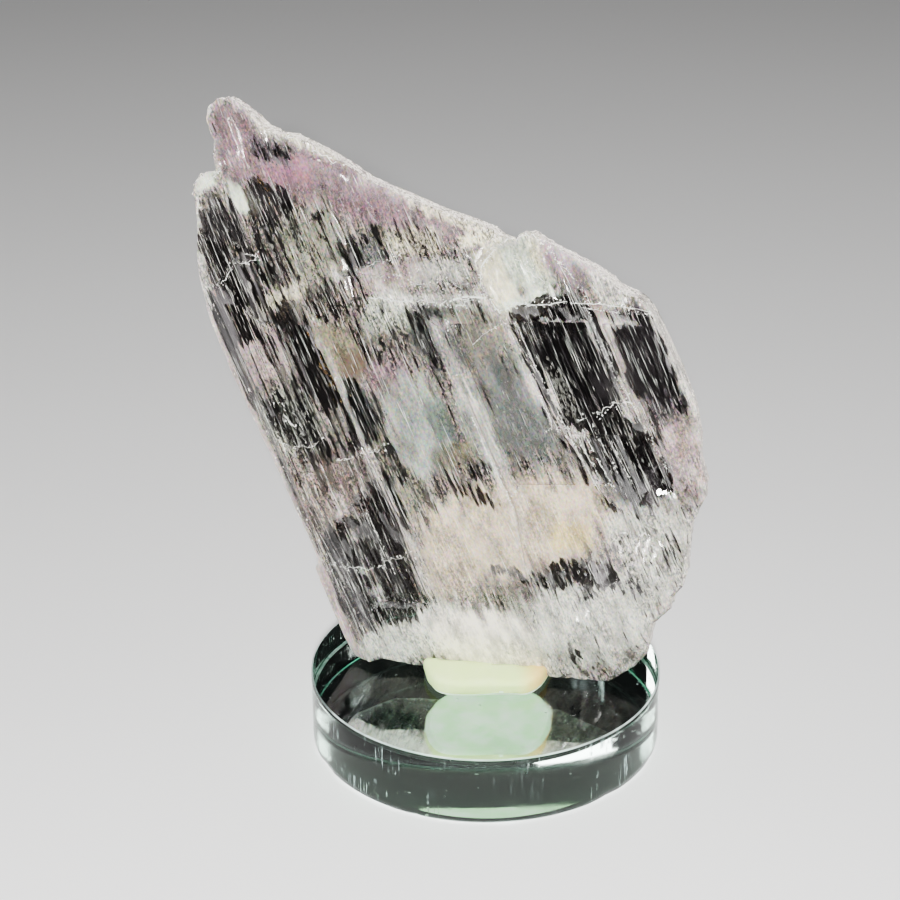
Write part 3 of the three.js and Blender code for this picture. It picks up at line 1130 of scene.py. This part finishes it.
@dataclass
class KunziteCrystal:
    """The blade of kunzite, with its striation, its ledges and its painted ground."""

    seed: int = 7
    striation_pitch: float = 0.3  # mm, mean distance between the lengthwise cuts
    rung_pitch: float = 1.0  # mm between the crosswise cuts
    first_rung: float = 0.5  # mm from the lower end
    layer_pitch: float = 1.4  # mm between cuts through the thickness
    first_layer: float = 0.7  # mm from the back
    ridge: float = 0.07  # mm, striation relief
    swell: float = 0.12  # mm, slow waves of the broad faces
    sharp: float = 34.0  # degrees, past which an edge stays crisp
    crust: float = 1.1  # mm, width of the frosted band round the rim
    back_shift: float = -1.4  # mm, how far lower the growth zones reach on the back
    front_milk: float = 0.46
    back_milk: float = 0.34
    rim_milk: float = 0.82
    rim_tint: Colour = (0.86, 0.81, 0.76)
    rim_share: float = 0.65  # how much of the rim's tint shows
    foot_shade: float = 0.88  # painted shade: how much the underside's tint is darkened

    def build(self) -> bpy.types.Object:
        """Cuts the plain blade into fine cells, works its surface and dresses it.

        Returns:
            The piece.
        """
        bm = cad_mesh("kunzite_crystal", 0.3)
        bmesh.ops.transform(bm, matrix=AXES.to_frame().inverted(), verts=bm.verts)
        self._cut(bm)
        bm.normal_update()
        self._work(bm)
        bm.normal_update()
        self._paint(bm)
        bmesh.ops.transform(bm, matrix=AXES.to_frame(), verts=bm.verts)
        piece = show("kunzite_blade", bm, KunziteFinish())
        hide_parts("kunzite_crystal")
        return piece

    def _cut(self, bm: bmesh.types.BMesh) -> None:
        """Cuts the blade lengthwise at uneven steps, and evenly across and through.

        Args:
            bm: the blade in its own millimetres.
        """
        places = np.array([v.co for v in bm.verts])
        low, high = places.min(0), places.max(0)
        chance = np.random.default_rng(self.seed)
        steps = np.cumsum(self.striation_pitch * chance.uniform(0.45, 1.55, 400)) + low[0]
        rungs = np.arange(low[1] + self.first_rung, high[1], self.rung_pitch)
        layers = np.arange(low[2] + self.first_layer, high[2], self.layer_pitch)
        for axis, cuts in enumerate((steps[steps < high[0]], rungs, layers)):
            for place in cuts:
                cut_at(bm, axis, float(place))
        bmesh.ops.remove_doubles(bm, verts=bm.verts, dist=0.03)

    def _work(self, bm: bmesh.types.BMesh) -> None:
        """Raises striations, growth steps, etch lumps and rim chips.

        Args:
            bm: the blade in its own millimetres.
        """
        places = np.array([v.co for v in bm.verts])
        across, along = places[:, 0], places[:, 1]
        ragged = np.array([wave(x * 0.7, y * 0.16, z * 0.3) for x, y, z in places])
        etched = zones(ETCHED, across, along, ragged)
        steps = sum(t.height * t.cover(across, along, ragged, 0.16) for t in TERRACES)
        moves = []
        for v, etch, step in zip(bm.verts, etched, steps):
            x, y, z = v.co
            facing = abs(v.normal.z)
            side = 40.0 if v.normal.z > 0 else -40.0  # keeps the noise of the two faces apart
            lines = wave(x * 3.7, y * 0.035, side) + 0.6 * wave(x * 1.3, y * 0.03, side)
            strength = 0.55 + 0.9 * wave(x * 0.22, y * 0.06, side + 9)
            depth = self.ridge * lines * max(strength, 0.12) * facing * (1 - etch)
            swell = self.swell * wave(x * 0.22, y * 0.09, side + 3) * facing
            lumps = wave(x * 0.55, y * 0.5, z * 0.55 + side)
            fine = wave(x * 1.5, y * 1.2, z * 1.5 + side)
            depth += etch * (0.34 * lumps + 0.16 * fine) * (0.35 + 0.65 * facing) + swell
            bite = wave(x * 0.9, y * 0.9, z * 0.9)
            depth += (1 - facing) * (0.16 * fine + 0.3 * min(bite, 0.0))
            depth += step * max(v.normal.z, 0.0)
            moves.append(v.normal * depth)
        for v, move in zip(bm.verts, moves):
            v.co += move
        for face in bm.faces:
            face.smooth = True
        for edge in bm.edges:
            edge.smooth = edge.calc_face_angle(0.0) < math.radians(self.sharp)

    def _near_rim(self, bm: bmesh.types.BMesh) -> np.ndarray:
        """How close each vertex is to the blade's narrow sides, from 0 to 1.

        Args:
            bm: the blade in its own millimetres.

        Returns:
            1 at the rim, and 0 at rather more than the crust's width from it.
        """
        rim = [v.co for v in bm.verts if abs(v.normal.z) < 0.55]
        tree = KDTree(len(rim))
        for index, place in enumerate(rim):
            tree.insert(place, index)
        tree.balance()
        near = np.array([tree.find(v.co)[2] for v in bm.verts])
        return np.clip(1.25 - near / self.crust, 0, 1)

    def _paint(self, bm: bmesh.types.BMesh) -> None:
        """Lays the windows, the growth tints and the painted shade down as attributes.

        Args:
            bm: the blade in its own millimetres.
        """
        places = np.array([v.co for v in bm.verts])
        facing = np.array([v.normal.z for v in bm.verts])
        ragged = np.array([wave(x * 1.1, y * 0.22, 0) for x, y, _ in places])
        behind = facing < -0.3
        across, along = places[:, 0], places[:, 1] - np.where(behind, self.back_shift, 0.0)
        window = zones(WINDOWS, across, along, ragged)
        window *= 1 - zones(CLOSED, across, along, ragged * 0.4, 0.12)
        milky = zones(MILKY_BEHIND, across, along, ragged)
        window = np.where(behind, window * (1 - milky), window)
        broad = np.clip((np.abs(facing) - 0.35) / 0.4, 0, 1)
        crust = np.clip(self._near_rim(bm) * (0.75 + 0.8 * ragged), 0, 1)
        window *= (1 - crust) * broad
        milk = np.where(behind, self.back_milk, self.front_milk)
        calm = np.zeros(len(places))
        tint = np.tile(np.array(Ground.tint), (len(places), 1))
        for patch in GROUNDS:
            share = patch.amount * patch.cover(across, along, ragged)
            tint += (np.array(patch.tint) - tint) * share[:, None]
            milk += (patch.milk - milk) * share
            calm += (patch.calm - calm) * share
        edge = np.maximum(crust, 1 - broad)
        milk += (self.rim_milk - milk) * edge
        tint += (np.array(self.rim_tint) - tint) * (self.rim_share * edge)[:, None]
        # painted shade: faces that look down the long axis have their tint darkened
        under = np.clip((-np.array([v.normal.y for v in bm.verts]) - 0.62) / 0.3, 0, 1)
        tint *= (1 - self.foot_shade * under)[:, None]
        layers = [bm.verts.layers.float.new(name) for name in ("window", "milk", "calm")]
        tint_layer = bm.verts.layers.float_color.new("tint")
        for index, v in enumerate(bm.verts):
            for layer, values in zip(layers, (window, milk, calm)):
                v[layer] = float(values[index])
            v[tint_layer] = (*map(float, tint[index]), 1.0)


@dataclass(frozen=True)
class Scar:
    """A healed crack or a ledge on the front face, as a line of frosted growth."""

    points: tuple[Point, ...]  # across and along, mm
    width: float = 0.16  # mm
    wobble: float = 0.12  # mm
    gaps: float = 0.0  # share of the line that is missing
    crumbs: float = 4.0  # loose chips for each millimetre of the line

    def legs(self) -> list[tuple[Point, Point]]:
        """The line's straight legs, each by its two ends."""
        return list(zip(self.points, self.points[1:]))


SCARS = (
    Scar(((3.4, 54.4), (7.0, 52.4), (10.2, 51.0), (12.4, 49.9)), 0.2, 0.2, 0.1),
    Scar(((11.6, 50.2), (13.8, 49.3), (16.6, 49.2), (19.2, 48.0)), 0.34, 0.24, 0.15),
    Scar(((13.0, 49.0), (15.4, 48.3), (18.0, 47.9)), 0.2, 0.3, 0.3),
    Scar(((12.6, 47.6), (12.2, 46.4), (13.2, 45.4)), 0.14, 0.3, 0.2),
    Scar(((20.2, 45.5), (22.4, 45.6), (24.6, 44.7), (27.0, 43.7), (29.8, 43.3)), 0.24, 0.14),
    Scar(((21.0, 46.2), (24.0, 45.4), (27.6, 44.6)), 0.14, 0.1, 0.2),
    Scar(((30.0, 42.6), (33.0, 41.3), (36.4, 39.4), (39.4, 37.2)), 0.17, 0.05),
    Scar(((30.6, 41.8), (33.6, 40.0), (36.8, 38.2), (39.2, 37.0)), 0.1, 0.06, 0.2),
    Scar(((10.4, 33.4), (10.5, 28.0), (10.6, 23.0), (10.7, 19.0)), 0.13, 0.06, 0.08),
    Scar(((10.3, 21.6), (11.4, 21.2), (12.4, 20.9)), 0.34, 0.2),
    Scar(((-19.2, 22.6), (-17.0, 21.4), (-14.4, 19.8), (-12.0, 18.7), (-9.6, 18.0)), 0.18, 0.22, 0.1),
    Scar(((-11.6, 18.8), (-9.6, 19.0), (-7.4, 18.6), (-5.2, 18.9)), 0.14, 0.22, 0.25),
    Scar(((-17.4, 64.6), (-15.6, 64.2), (-13.8, 64.9),
          (-12.4, 66.0), (-10.6, 65.3), (-8.6, 65.5)), 0.13, 0.2, 0.15),
    Scar(((-10.4, 66.8), (-9.2, 65.8), (-8.6, 66.6)), 0.13, 0.1),
    Scar(((14.6, 42.7), (16.4, 43.4), (18.4, 43.6), (19.8, 44.2)), 0.11, 0.1),
    Scar(((20.2, 44.6), (20.0, 40.0), (20.2, 34.0), (20.4, 28.6), (20.0, 27.6), (19.2, 27.6)), 0.17, 0.05),
    Scar(((21.5, 43.4), (21.6, 38.0), (21.9, 32.0), (22.2, 26.4)), 0.12, 0.04, 0.1),
    Scar(((-9.2, 27.0), (-9.2, 22.0), (-9.1, 16.4)), 0.09, 0.04, 0.1),
    Scar(((20.4, 27.3), (22.8, 26.8), (25.0, 27.6),
          (27.4, 27.2), (29.6, 27.6), (32.2, 26.8)), 0.2, 0.3, 0.25),
    Scar(((24.6, 54.2), (22.2, 53.5), (20.1, 52.1), (19.0, 50.0), (19.5, 47.3), (20.2, 44.8)), 0.3, 0.08),
    Scar(((30.2, 49.0), (31.6, 44.6), (31.8, 42.0),
          (31.0, 36.2), (32.2, 24.4), (33.0, 15.4)), 0.12, 0.12, 0.3),
    Scar(((-14.6, 74.4), (-13.4, 76.6), (-11.0, 78.0), (-8.4, 78.9)), 0.2, 0.08),
    Scar(((-10.2, 34.9), (-8.0, 34.4), (-5.8, 34.5)), 0.14, 0.16, 0.2),
    Scar(((-5.6, 34.6), (-4.0, 33.8), (-2.0, 34.6)), 0.12, 0.16, 0.2),
    Scar(((-15.8, 46.0), (-14.2, 45.0), (-13.0, 43.2), (-12.8, 41.0), (-13.6, 38.8)), 0.11, 0.16, 0.1),
    Scar(((-14.6, 43.8), (-14.2, 42.4), (-13.6, 41.2)), 0.3, 0.1),
    Scar(((-17.0, 40.6), (-15.2, 39.0), (-12.8, 38.0), (-10.8, 38.6)), 0.1, 0.16, 0.2),
    Scar(((22.2, 25.4), (22.4, 21.0), (22.8, 16.4)), 0.2, 0.05, 0.1),
    Scar(((23.2, 26.4), (23.4, 22.0), (23.8, 17.4)), 0.15, 0.05, 0.15),
    Scar(((24.2, 26.0), (24.5, 21.4), (25.0, 15.6)), 0.22, 0.05, 0.1),
    Scar(((25.6, 26.6), (25.9, 22.6), (26.3, 18.6)), 0.15, 0.05, 0.2),
    Scar(((27.0, 25.2), (27.2, 21.0), (27.6, 16.2)), 0.1, 0.05, 0.2),
    Scar(((-1.2, 85.6), (-0.2, 82.8), (0.6, 80.6)), 0.3, 0.16, 0.1),
    Scar(((1.0, 79.8), (3.4, 78.2), (5.6, 75.6), (8.2, 73.4), (9.6, 71.8)), 0.26, 0.26, 0.1),
    Scar(((9.4, 71.6), (11.6, 69.4), (13.6, 67.4), (15.2, 65.0)), 0.24, 0.26, 0.12),
    Scar(((15.2, 64.8), (18.0, 62.0), (20.6, 59.6), (23.6, 56.4)), 0.2, 0.24, 0.15),
    Scar(((4.4, 76.0), (6.2, 73.6), (7.2, 73.4)), 0.18, 0.2, 0.1),
    Scar(((20.4, 56.4), (22.4, 55.8), (24.0, 55.9)), 0.2, 0.4, 0.3),
    Scar(((26.4, 54.0), (28.2, 53.4), (29.8, 50.8), (30.2, 48.4)), 0.2, 0.1, 0.1),
    Scar(((25.0, 51.6), (25.8, 49.4), (27.4, 47.0), (27.6, 45.6)), 0.18, 0.3, 0.15),
    Scar(((5.0, 58.4), (8.6, 58.0), (11.0, 58.4)), 0.14, 0.3, 0.3),
    Scar(((6.0, 56.4), (9.4, 55.2), (13.6, 55.0)), 0.12, 0.3, 0.3),
    Scar(((9.0, 54.0), (12.4, 52.6), (14.8, 52.6)), 0.12, 0.3, 0.3),
    Scar(((13.8, 51.6), (16.0, 50.8), (17.8, 51.2)), 0.12, 0.3, 0.2),
)


class ChipMesh:
    """A mesh of small closed shapes on the crystal, made in its own millimetres.

    They are made a few at a time and poured into the whole, since an operator slows as
    its mesh grows.
    """

    few = 300  # vertices

    def __init__(self) -> None:
        """Starts with nothing."""
        self.whole = bmesh.new()
        self.batch = bmesh.new()

    def pour(self) -> None:
        """Moves the shapes of the batch into the whole."""
        mesh = bpy.data.meshes.new("batch")
        self.batch.to_mesh(mesh)
        self.whole.from_mesh(mesh)
        bpy.data.meshes.remove(mesh)
        self.batch.clear()

    def chip(self, matrix: Matrix) -> None:
        """Adds one eight-sided chip.

        Args:
            matrix: the chip's place, turn and half sizes.
        """
        bmesh.ops.create_uvsphere(self.batch, u_segments=4, v_segments=2, radius=1.0, matrix=matrix)
        if len(self.batch.verts) > self.few:
            self.pour()

    def sliver(self, stations: list[Matrix]) -> None:
        """Bridges small diamonds set at each station into one closed sliver.

        Args:
            stations: each diamond's place, turn and size. One alone makes no sliver.
        """
        if len(stations) < 2:
            return
        self.pour()
        last = None
        for index, station in enumerate(stations):
            ring = bmesh.ops.create_circle(self.batch, segments=4, radius=1.0, matrix=station,
                                           cap_ends=index in (0, len(stations) - 1))["verts"]
            rim = {edge for v in ring for edge in v.link_edges}
            if last is not None:
                bmesh.ops.bridge_loops(self.batch, edges=[*last, *rim])
            last = rim
        self.pour()

    def finish(self) -> bmesh.types.BMesh:
        """Turns every face outwards and takes the mesh to the frame.

        Returns:
            The whole, in frame metres.
        """
        self.pour()
        self.batch.free()
        bmesh.ops.recalc_face_normals(self.whole, faces=self.whole.faces)
        bmesh.ops.transform(self.whole, matrix=AXES.to_frame(), verts=self.whole.verts)
        return self.whole


class Relief:
    """Finds points of the blade's worked surface and stands small things on them."""

    narrow = 0.72  # a face that looks less than this along the out axis is on the rim
    steep = 0.6  # a face that looks less than this along it holds nothing from the broad sides
    clear = 30.0  # mm out from the middle, which clears the blade
    across = (-20, 40)  # mm, the blade's reach
    along = (-8, 87)

    def __init__(self, blade: bpy.types.Object) -> None:
        """Reads the blade's finished mesh.

        Args:
            blade: the blade.
        """
        bm = bmesh.new()
        bm.from_mesh(blade.data)
        bmesh.ops.transform(bm, matrix=AXES.to_frame().inverted(), verts=bm.verts)
        bm.normal_update()
        self.surface = BVHTree.FromBMesh(bm)
        narrow = [face for face in bm.faces if abs(face.normal.z) < self.narrow]
        self.rim = [(face.calc_center_median(), face.normal.copy()) for face in narrow]
        self.rim_areas = np.array([face.calc_area() for face in narrow])
        bm.free()

    def touch(self, across: float, along: float, side: Side) -> Met | None:
        """Where a line along the out axis first meets the blade.

        Args:
            across: place across the long axis, mm.
            along: place along it, mm.
            side: the broad face that is met.

        Returns:
            The point and the surface's normal, or None past the outline or on a narrow
            side.
        """
        start = Vector((across, along, self.clear * side.value))
        place, normal, _, _ = self.surface.ray_cast(start, Vector((0, 0, -side.value)))
        if place is None or abs(normal.z) < self.steep:
            return None
        return place, normal

    def touch_leg(self, leg: tuple[Point, Point], share: float, stray: np.ndarray) -> Met | None:
        """Meets the front face near a point of a straight leg.

        Args:
            leg: its two ends.
            share: how far along it.
            stray: how far aside, across and along.

        Returns:
            The point and the surface's normal, or None as above.
        """
        (x0, y0), (x1, y1) = leg
        return self.touch(x0 + (x1 - x0) * share + stray[0], y0 + (y1 - y0) * share + stray[1],
                          Side.FRONT)

    @staticmethod
    def laid(place: Vector, normal: Vector, heading: Vector, size: Vector) -> Matrix:
        """A matrix that lays a shape on the surface.

        Args:
            place: the point, in crystal mm.
            normal: the surface's normal there.
            heading: the way the shape's own Y points.
            size: the shape's scale across, along and out.

        Returns:
            The matrix.
        """
        out = normal.normalized()
        across = heading.cross(out).normalized()
        along = out.cross(across)
        turn = Matrix((across, along, out)).transposed().to_4x4()
        return Matrix.Translation(place) @ turn @ Matrix.Diagonal(size).to_4x4()


@dataclass
class GrowthRidges:
    """Slivers of frosted growth along the striation, and healed scars across it."""

    seed: int = 11
    count: tuple[int, int] = (1500, 1100)  # slivers on the front and the back
    specks: tuple[int, int] = (800, 400)
    speck: Point = (0.03, 0.09)  # mm, half size
    step: float = 0.55  # mm between a scar's stations
    height: float = 0.05  # mm, how far a sliver stands out

    def build(self, relief: Relief) -> bpy.types.Object:
        """Lays the slivers, specks and scars on the blade.

        Args:
            relief: the blade's surface.

        Returns:
            The piece.
        """
        chips = ChipMesh()
        chance = np.random.default_rng(self.seed)
        for side, count in zip(Side, self.count):
            self._slivers(chips, relief, side, count, chance)
        for side, count in zip(Side, self.specks):
            self._specks(chips, relief, side, count, chance)
        for scar in SCARS:
            self._scar(chips, relief, scar, chance)
            self._crumble(chips, relief, scar, chance)
        piece = show("growth_ridges", chips.finish(), RidgeFinish())
        return piece

    def _slivers(self, chips: ChipMesh, relief: Relief, side: Side, count: int,
                 chance: np.random.Generator) -> None:
        """Lays fine slivers along the long axis, thickest over the clear ground.

        Args:
            chips: the mesh they are added to.
            relief: the blade's surface.
            side: the broad face.
            count: how many there may be.
            chance: the source of random numbers.
        """
        tries = count * 3
        across, along = chance.uniform(*relief.across, tries), chance.uniform(*relief.along, tries)
        even, calm = np.zeros(tries), np.zeros(tries)
        clear = zones(WINDOWS, across, along, even)
        for ground in GROUNDS:
            calm += (ground.calm - calm) * (ground.amount * ground.cover(across, along, even))
        wanted = (0.22 + 0.6 * clear) * (1 - 0.9 * calm * (1 - clear))
        kept = chance.uniform(0, 1, tries) < wanted
        for x, y in zip(across[kept][:count], along[kept][:count]):
            reach = 0.2 + chance.gamma(1.5, 0.75)
            width, tilt = chance.uniform(0.015, 0.045), chance.normal(0, 0.01)
            met = relief.touch(x, y, side)
            ends = [relief.touch(x, y + end, side) for end in (reach, -reach)]
            size = Vector((width, reach, self.height * chance.uniform(0.5, 1.2)))
            if met is not None and None not in ends:
                chips.chip(relief.laid(*met, Vector((tilt, 1.0, 0.0)), size))

    def _specks(self, chips: ChipMesh, relief: Relief, side: Side, count: int,
                chance: np.random.Generator) -> None:
        """Scatters bright specks over a broad face.

        Args:
            chips: the mesh they are added to.
            relief: the blade's surface.
            side: the broad face.
            count: how many places are tried.
            chance: the source of random numbers.
        """
        for x, y in zip(chance.uniform(*relief.across, count), chance.uniform(*relief.along, count)):
            met = relief.touch(x, y, side)
            self._stand(chips, relief, met, chance.uniform(*self.speck), chance)

    def _crumble(self, chips: ChipMesh, relief: Relief, scar: Scar,
                 chance: np.random.Generator) -> None:
        """Strews loose chips along a scar.

        Args:
            chips: the mesh they are added to.
            relief: the blade's surface.
            scar: the scar.
            chance: the source of random numbers.
        """
        spread = 0.5 * scar.width + scar.wobble
        largest = 0.25 + 0.5 * scar.width
        for leg in scar.legs():
            for share in chance.uniform(0, 1, round(math.dist(*leg) * scar.crumbs)):
                met = relief.touch_leg(leg, share, chance.normal(0, spread, 2))
                self._stand(chips, relief, met, largest * chance.uniform(0.15, 0.6), chance)

    def _stand(self, chips: ChipMesh, relief: Relief, met: Met | None, reach: float,
               chance: np.random.Generator) -> None:
        """Stands one angular chip on the surface.

        Args:
            chips: the mesh it is added to.
            relief: the blade's surface.
            met: the point and the surface's normal, or None for no chip.
            reach: the chip's half length, mm.
            chance: the source of random numbers.
        """
        bearing = chance.uniform(0, math.tau)
        size = Vector((reach * chance.uniform(0.35, 0.8), reach, self.height * chance.uniform(0.8, 1.8)))
        if met is not None:
            chips.chip(relief.laid(*met, Vector((math.cos(bearing), math.sin(bearing), 0.0)), size))

    def _scar(self, chips: ChipMesh, relief: Relief, scar: Scar,
              chance: np.random.Generator) -> None:
        """Lays one scar, in as many slivers as its gaps leave.

        Args:
            chips: the mesh it is added to.
            relief: the blade's surface.
            scar: the scar.
            chance: the source of random numbers.
        """
        upended = Matrix.Rotation(math.radians(90), 4, "X")
        stations: list[Matrix] = []
        for leg in scar.legs():
            steps = max(2, round(math.dist(*leg) / self.step))
            heading = Vector((leg[1][0] - leg[0][0], leg[1][1] - leg[0][1], 0.0)).normalized()
            for k in range(steps):
                stray = chance.normal(0, scar.wobble * 0.7, 2)
                girth = scar.width * chance.uniform(0.35, 1.0) / 2
                met = relief.touch_leg(leg, k / steps, stray)
                broken = chance.uniform() < scar.gaps
                if met is None or broken:
                    chips.sliver(stations)
                    stations = []
                    continue
                laid = relief.laid(*met, heading, Vector((1.0, 1.0, 1.0)))
                size = Matrix.Diagonal((girth, self.height * 1.5, 1.0)).to_4x4()
                stations.append(laid @ upended @ size)
        chips.sliver(stations)


@dataclass
class RimChips:
    """Bruised, chipped edges: small frosted flakes all round the blade's narrow sides."""

    seed: int = 23
    count: int = 4200
    reach: Point = (0.1, 0.36)  # mm, half length
    proud: float = 0.06  # mm, half thickness
    stray: float = 0.5  # mm, how far a flake strays from the middle of its face
    broad: float = 0.85  # a place that looks more than this along the out axis is left bare
    base_weight: float = 0.14  # how thickly they lie away from the slanting top
    top: float = 40.0  # mm along, above which the slanting top starts
    under: float = -0.45  # a face that looks further down than this is left bare
    finish: FlakeFinish = FlakeFinish("chipped_rim", (0.95, 0.93, 0.84), (0.84, 0.76, 0.74))

    def build(self, relief: Relief) -> bpy.types.Object:
        """Lays the flakes, thickest on the slanting top.

        Args:
            relief: the blade's surface.

        Returns:
            The piece.
        """
        chance = np.random.default_rng(self.seed)
        slanting = np.array([max(normal.x * 0.7 + normal.y * 0.7, 0.0) * (place.y > self.top)
                             for place, normal in relief.rim])
        upright = np.array([normal.y > self.under for _, normal in relief.rim])
        weight = relief.rim_areas * (self.base_weight + slanting) * upright
        chips = ChipMesh()
        for pick in chance.choice(len(relief.rim), self.count, p=weight / weight.sum()):
            place, _ = relief.rim[pick]
            stray = Vector(chance.normal(0, self.stray, 3))
            heading = Vector(chance.normal(0, 1, 3))
            reach = chance.uniform(*self.reach)
            size = Vector((reach * chance.uniform(0.4, 0.9), reach, self.proud * chance.uniform(0.6, 1.6)))
            near, facing, _, _ = relief.surface.find_nearest(place + stray)
            if abs(facing.z) <= self.broad:
                chips.chip(relief.laid(near, facing, heading, size))
        piece = show("rim_chips", chips.finish(), self.finish)
        return piece


@dataclass(frozen=True)
class Cloud(Patch):
    """A cloud of thin films sealed in the crystal, thinner towards its edges."""

    count: int = 60
    reach: float = 0.5  # mm, a film's half length


FEATHERS = (
    Cloud(23.4, 31.0, 1.5, 4.6, count=120, reach=0.45), Cloud(31.2, 32.0, 0.8, 6.0, count=60, reach=0.4),
    Cloud(-12.0, 68.0, 4.0, 6.0, count=60, reach=0.35), Cloud(-13.4, 42.0, 2.6, 5.0, count=90, reach=0.4),
    Cloud(-12.0, 17.0, 6.0, 7.0, count=40, reach=0.4), Cloud(28.0, 20.0, 4.0, 7.0, count=40, reach=0.35),
    Cloud(-5.0, 66.0, 5.0, 6.0, count=120, reach=0.4), Cloud(13.0, 47.0, 6.0, 4.0, count=90, reach=0.35),
)

STAINS = (
    Cloud(-5.8, 47.6, 1.2, 6.0, count=130, reach=0.5), Cloud(-2.2, 46.2, 1.3, 1.4, count=50, reach=0.35),
    Cloud(4.8, 42.6, 2.4, 1.6, count=50, reach=0.3), Cloud(6.4, 29.2, 2.6, 1.8, count=60, reach=0.35),
    Cloud(-4.4, 76.6, 0.5, 4.6, count=60, reach=0.3), Cloud(17.0, 12.4, 2.0, 1.4, count=30, reach=0.3),
)


@dataclass
class SealedFilms:
    """Thin films sealed in the crystal, lying along its cleavage."""

    name: str
    clouds: tuple[Cloud, ...]
    finish: FlakeFinish
    seed: int
    thickness: float = 0.015  # mm, half
    slender: float = 0.4  # a film's breadth, as a share of its length
    depth: Point = (0.08, 0.5)  # of the way from the front face to the back

    def build(self, relief: Relief) -> bpy.types.Object:
        """Strews the films through their clouds.

        Args:
            relief: the blade's surface.

        Returns:
            The piece.
        """
        chance = np.random.default_rng(self.seed)
        chips = ChipMesh()
        for cloud in self.clouds:
            for _ in range(cloud.count):
                x = cloud.across + cloud.half_across * chance.normal(0, 0.5)
                y = cloud.along + cloud.half_along * chance.normal(0, 0.5)
                deep, reach = chance.uniform(*self.depth), cloud.reach * chance.uniform(0.3, 1.4)
                tip = Vector((chance.normal(0, 0.3), chance.normal(0, 0.1), 1.0))
                front, back = relief.touch(x, y, Side.FRONT), relief.touch(x, y, Side.BACK)
                if front is None or back is None:
                    continue
                size = Vector((reach * self.slender, reach, self.thickness))
                inside = front[0].lerp(back[0], deep)
                chips.chip(relief.laid(inside, tip, Vector((0.0, 1.0, 0.0)), size))
        piece = show(self.name, chips.finish(), self.finish)
        return piece


# ---- the studio ---------------------------------------------------------------------
@dataclass(frozen=True)
class Softbox:
    """A square soft light that looks at the object."""

    name: str
    azimuth: float  # degrees from the front, to the right
    elevation: float
    distance: float  # m
    size: float  # m
    watts: float
    colour: Colour = (1.0, 1.0, 1.0)
    reach: Reach = Reach.PIECES

    def build(self, target: Vector, lit: dict[Reach, bpy.types.Collection]) -> None:
        """Hangs the light.

        Args:
            target: the point it looks at.
            lit: what a light of each reach falls on.
        """
        lamp = bpy.data.lights.new(self.name, "AREA")
        lamp.shape = "SQUARE"
        lamp.size = self.size
        lamp.energy = self.watts
        lamp.color = self.colour
        holder = placed(self.name, lamp)
        azimuth, elevation = math.radians(self.azimuth), math.radians(self.elevation)
        away = Vector((math.sin(azimuth) * math.cos(elevation),
                       -math.cos(azimuth) * math.cos(elevation), math.sin(elevation)))
        holder.light_linking.receiver_collection = lit[self.reach]
        holder.location = target + away * self.distance
        holder.rotation_euler = away.to_track_quat("Z", "Y").to_euler()


@dataclass
class Studio:
    """Floor, light and camera."""

    floor_size: float = 14.0  # m
    floor_gap: float = 0.05  # mm of air under the glass
    camera_place: Triple = (0.0, -0.32433, 0.20412)  # m
    aim: Triple = (63.845, 0.341, 0.694)  # degrees: tip, roll, turn
    lens: float = 104.75
    world: Colour = (0.02, 0.02, 0.0205)
    target: Triple = (0, 0, 0.04)  # m, where the lights look
    lights: tuple[Softbox, ...] = (
        Softbox("key_light", 0, 30, 0.6, 0.12, 2.9, (1.0, 0.99, 0.96)),
        Softbox("floor_light", 0, 26.4, 0.6, 0.04, 8.4, reach=Reach.FLOOR),
        Softbox("side_light", 98, 40, 0.9, 0.26, 4.8, (1.0, 0.98, 0.96)),
        Softbox("far_light", -78, 34, 0.9, 0.35, 3.6, (0.96, 0.98, 1.0)),
        Softbox("top_light", 150, 62, 1.0, 0.6, 4.0, (0.96, 0.98, 1.0)),
        Softbox("back_light", 205, 34, 1.2, 0.5, 4.0, (1.0, 0.99, 0.97)),
    )

    def build(self, pieces: list[bpy.types.Object]) -> None:
        """Sets out the floor, the lights and the camera.

        Args:
            pieces: the object's pieces, which every light but the floor's reaches.
        """
        scene = bpy.context.scene
        bm = bmesh.new()
        bmesh.ops.create_grid(bm, x_segments=1, y_segments=1, size=self.floor_size / 2,
                              matrix=Matrix.Translation((0, 0, -self.floor_gap * MM)))
        floor = solid("floor", bm, FloorFinish())
        lit = {reach: bpy.data.collections.new(reach.value) for reach in Reach}
        lit[Reach.FLOOR].objects.link(floor)
        for piece in pieces:
            lit[Reach.PIECES].objects.link(piece)
        for light in self.lights:
            light.build(Vector(self.target), lit)
        scene.world = bpy.data.worlds.new("studio")
        scene.world.use_nodes = True
        scene.world.node_tree.nodes["Background"].inputs["Color"].default_value = (*self.world, 1.0)
        scene.camera = placed("camera", bpy.data.cameras.new("camera"))
        scene.camera.data.lens = self.lens
        scene.camera.location = self.camera_place
        scene.camera.rotation_euler = [math.radians(angle) for angle in self.aim]
        scene.view_settings.look = "AgX - High Contrast"


def main() -> None:
    """Builds every piece in order."""
    logging.basicConfig(level=logging.INFO, format="%(name)s: %(message)s")
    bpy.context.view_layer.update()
    pieces = [part.build() for part in (GlassBase(), MountingPutty(), KunziteCrystal())]
    relief = Relief(pieces[-1])
    feathers = FlakeFinish("white_feathers", (0.86, 0.90, 0.84), (0.55, 0.58, 0.50))
    stains = FlakeFinish("iron_stain", (0.62, 0.50, 0.24), (0.42, 0.24, 0.12))
    for part in (GrowthRidges(), RimChips(), SealedFilms("sealed_feathers", FEATHERS, feathers, 31),
                 SealedFilms("sealed_iron_stains", STAINS, stains, 37)):
        pieces.append(part.build(relief))
    for piece in pieces:
        log.info("%s: %d faces", piece.name, len(piece.data.polygons))
    Studio().build(pieces)


if __name__ == "__main__":
    main()
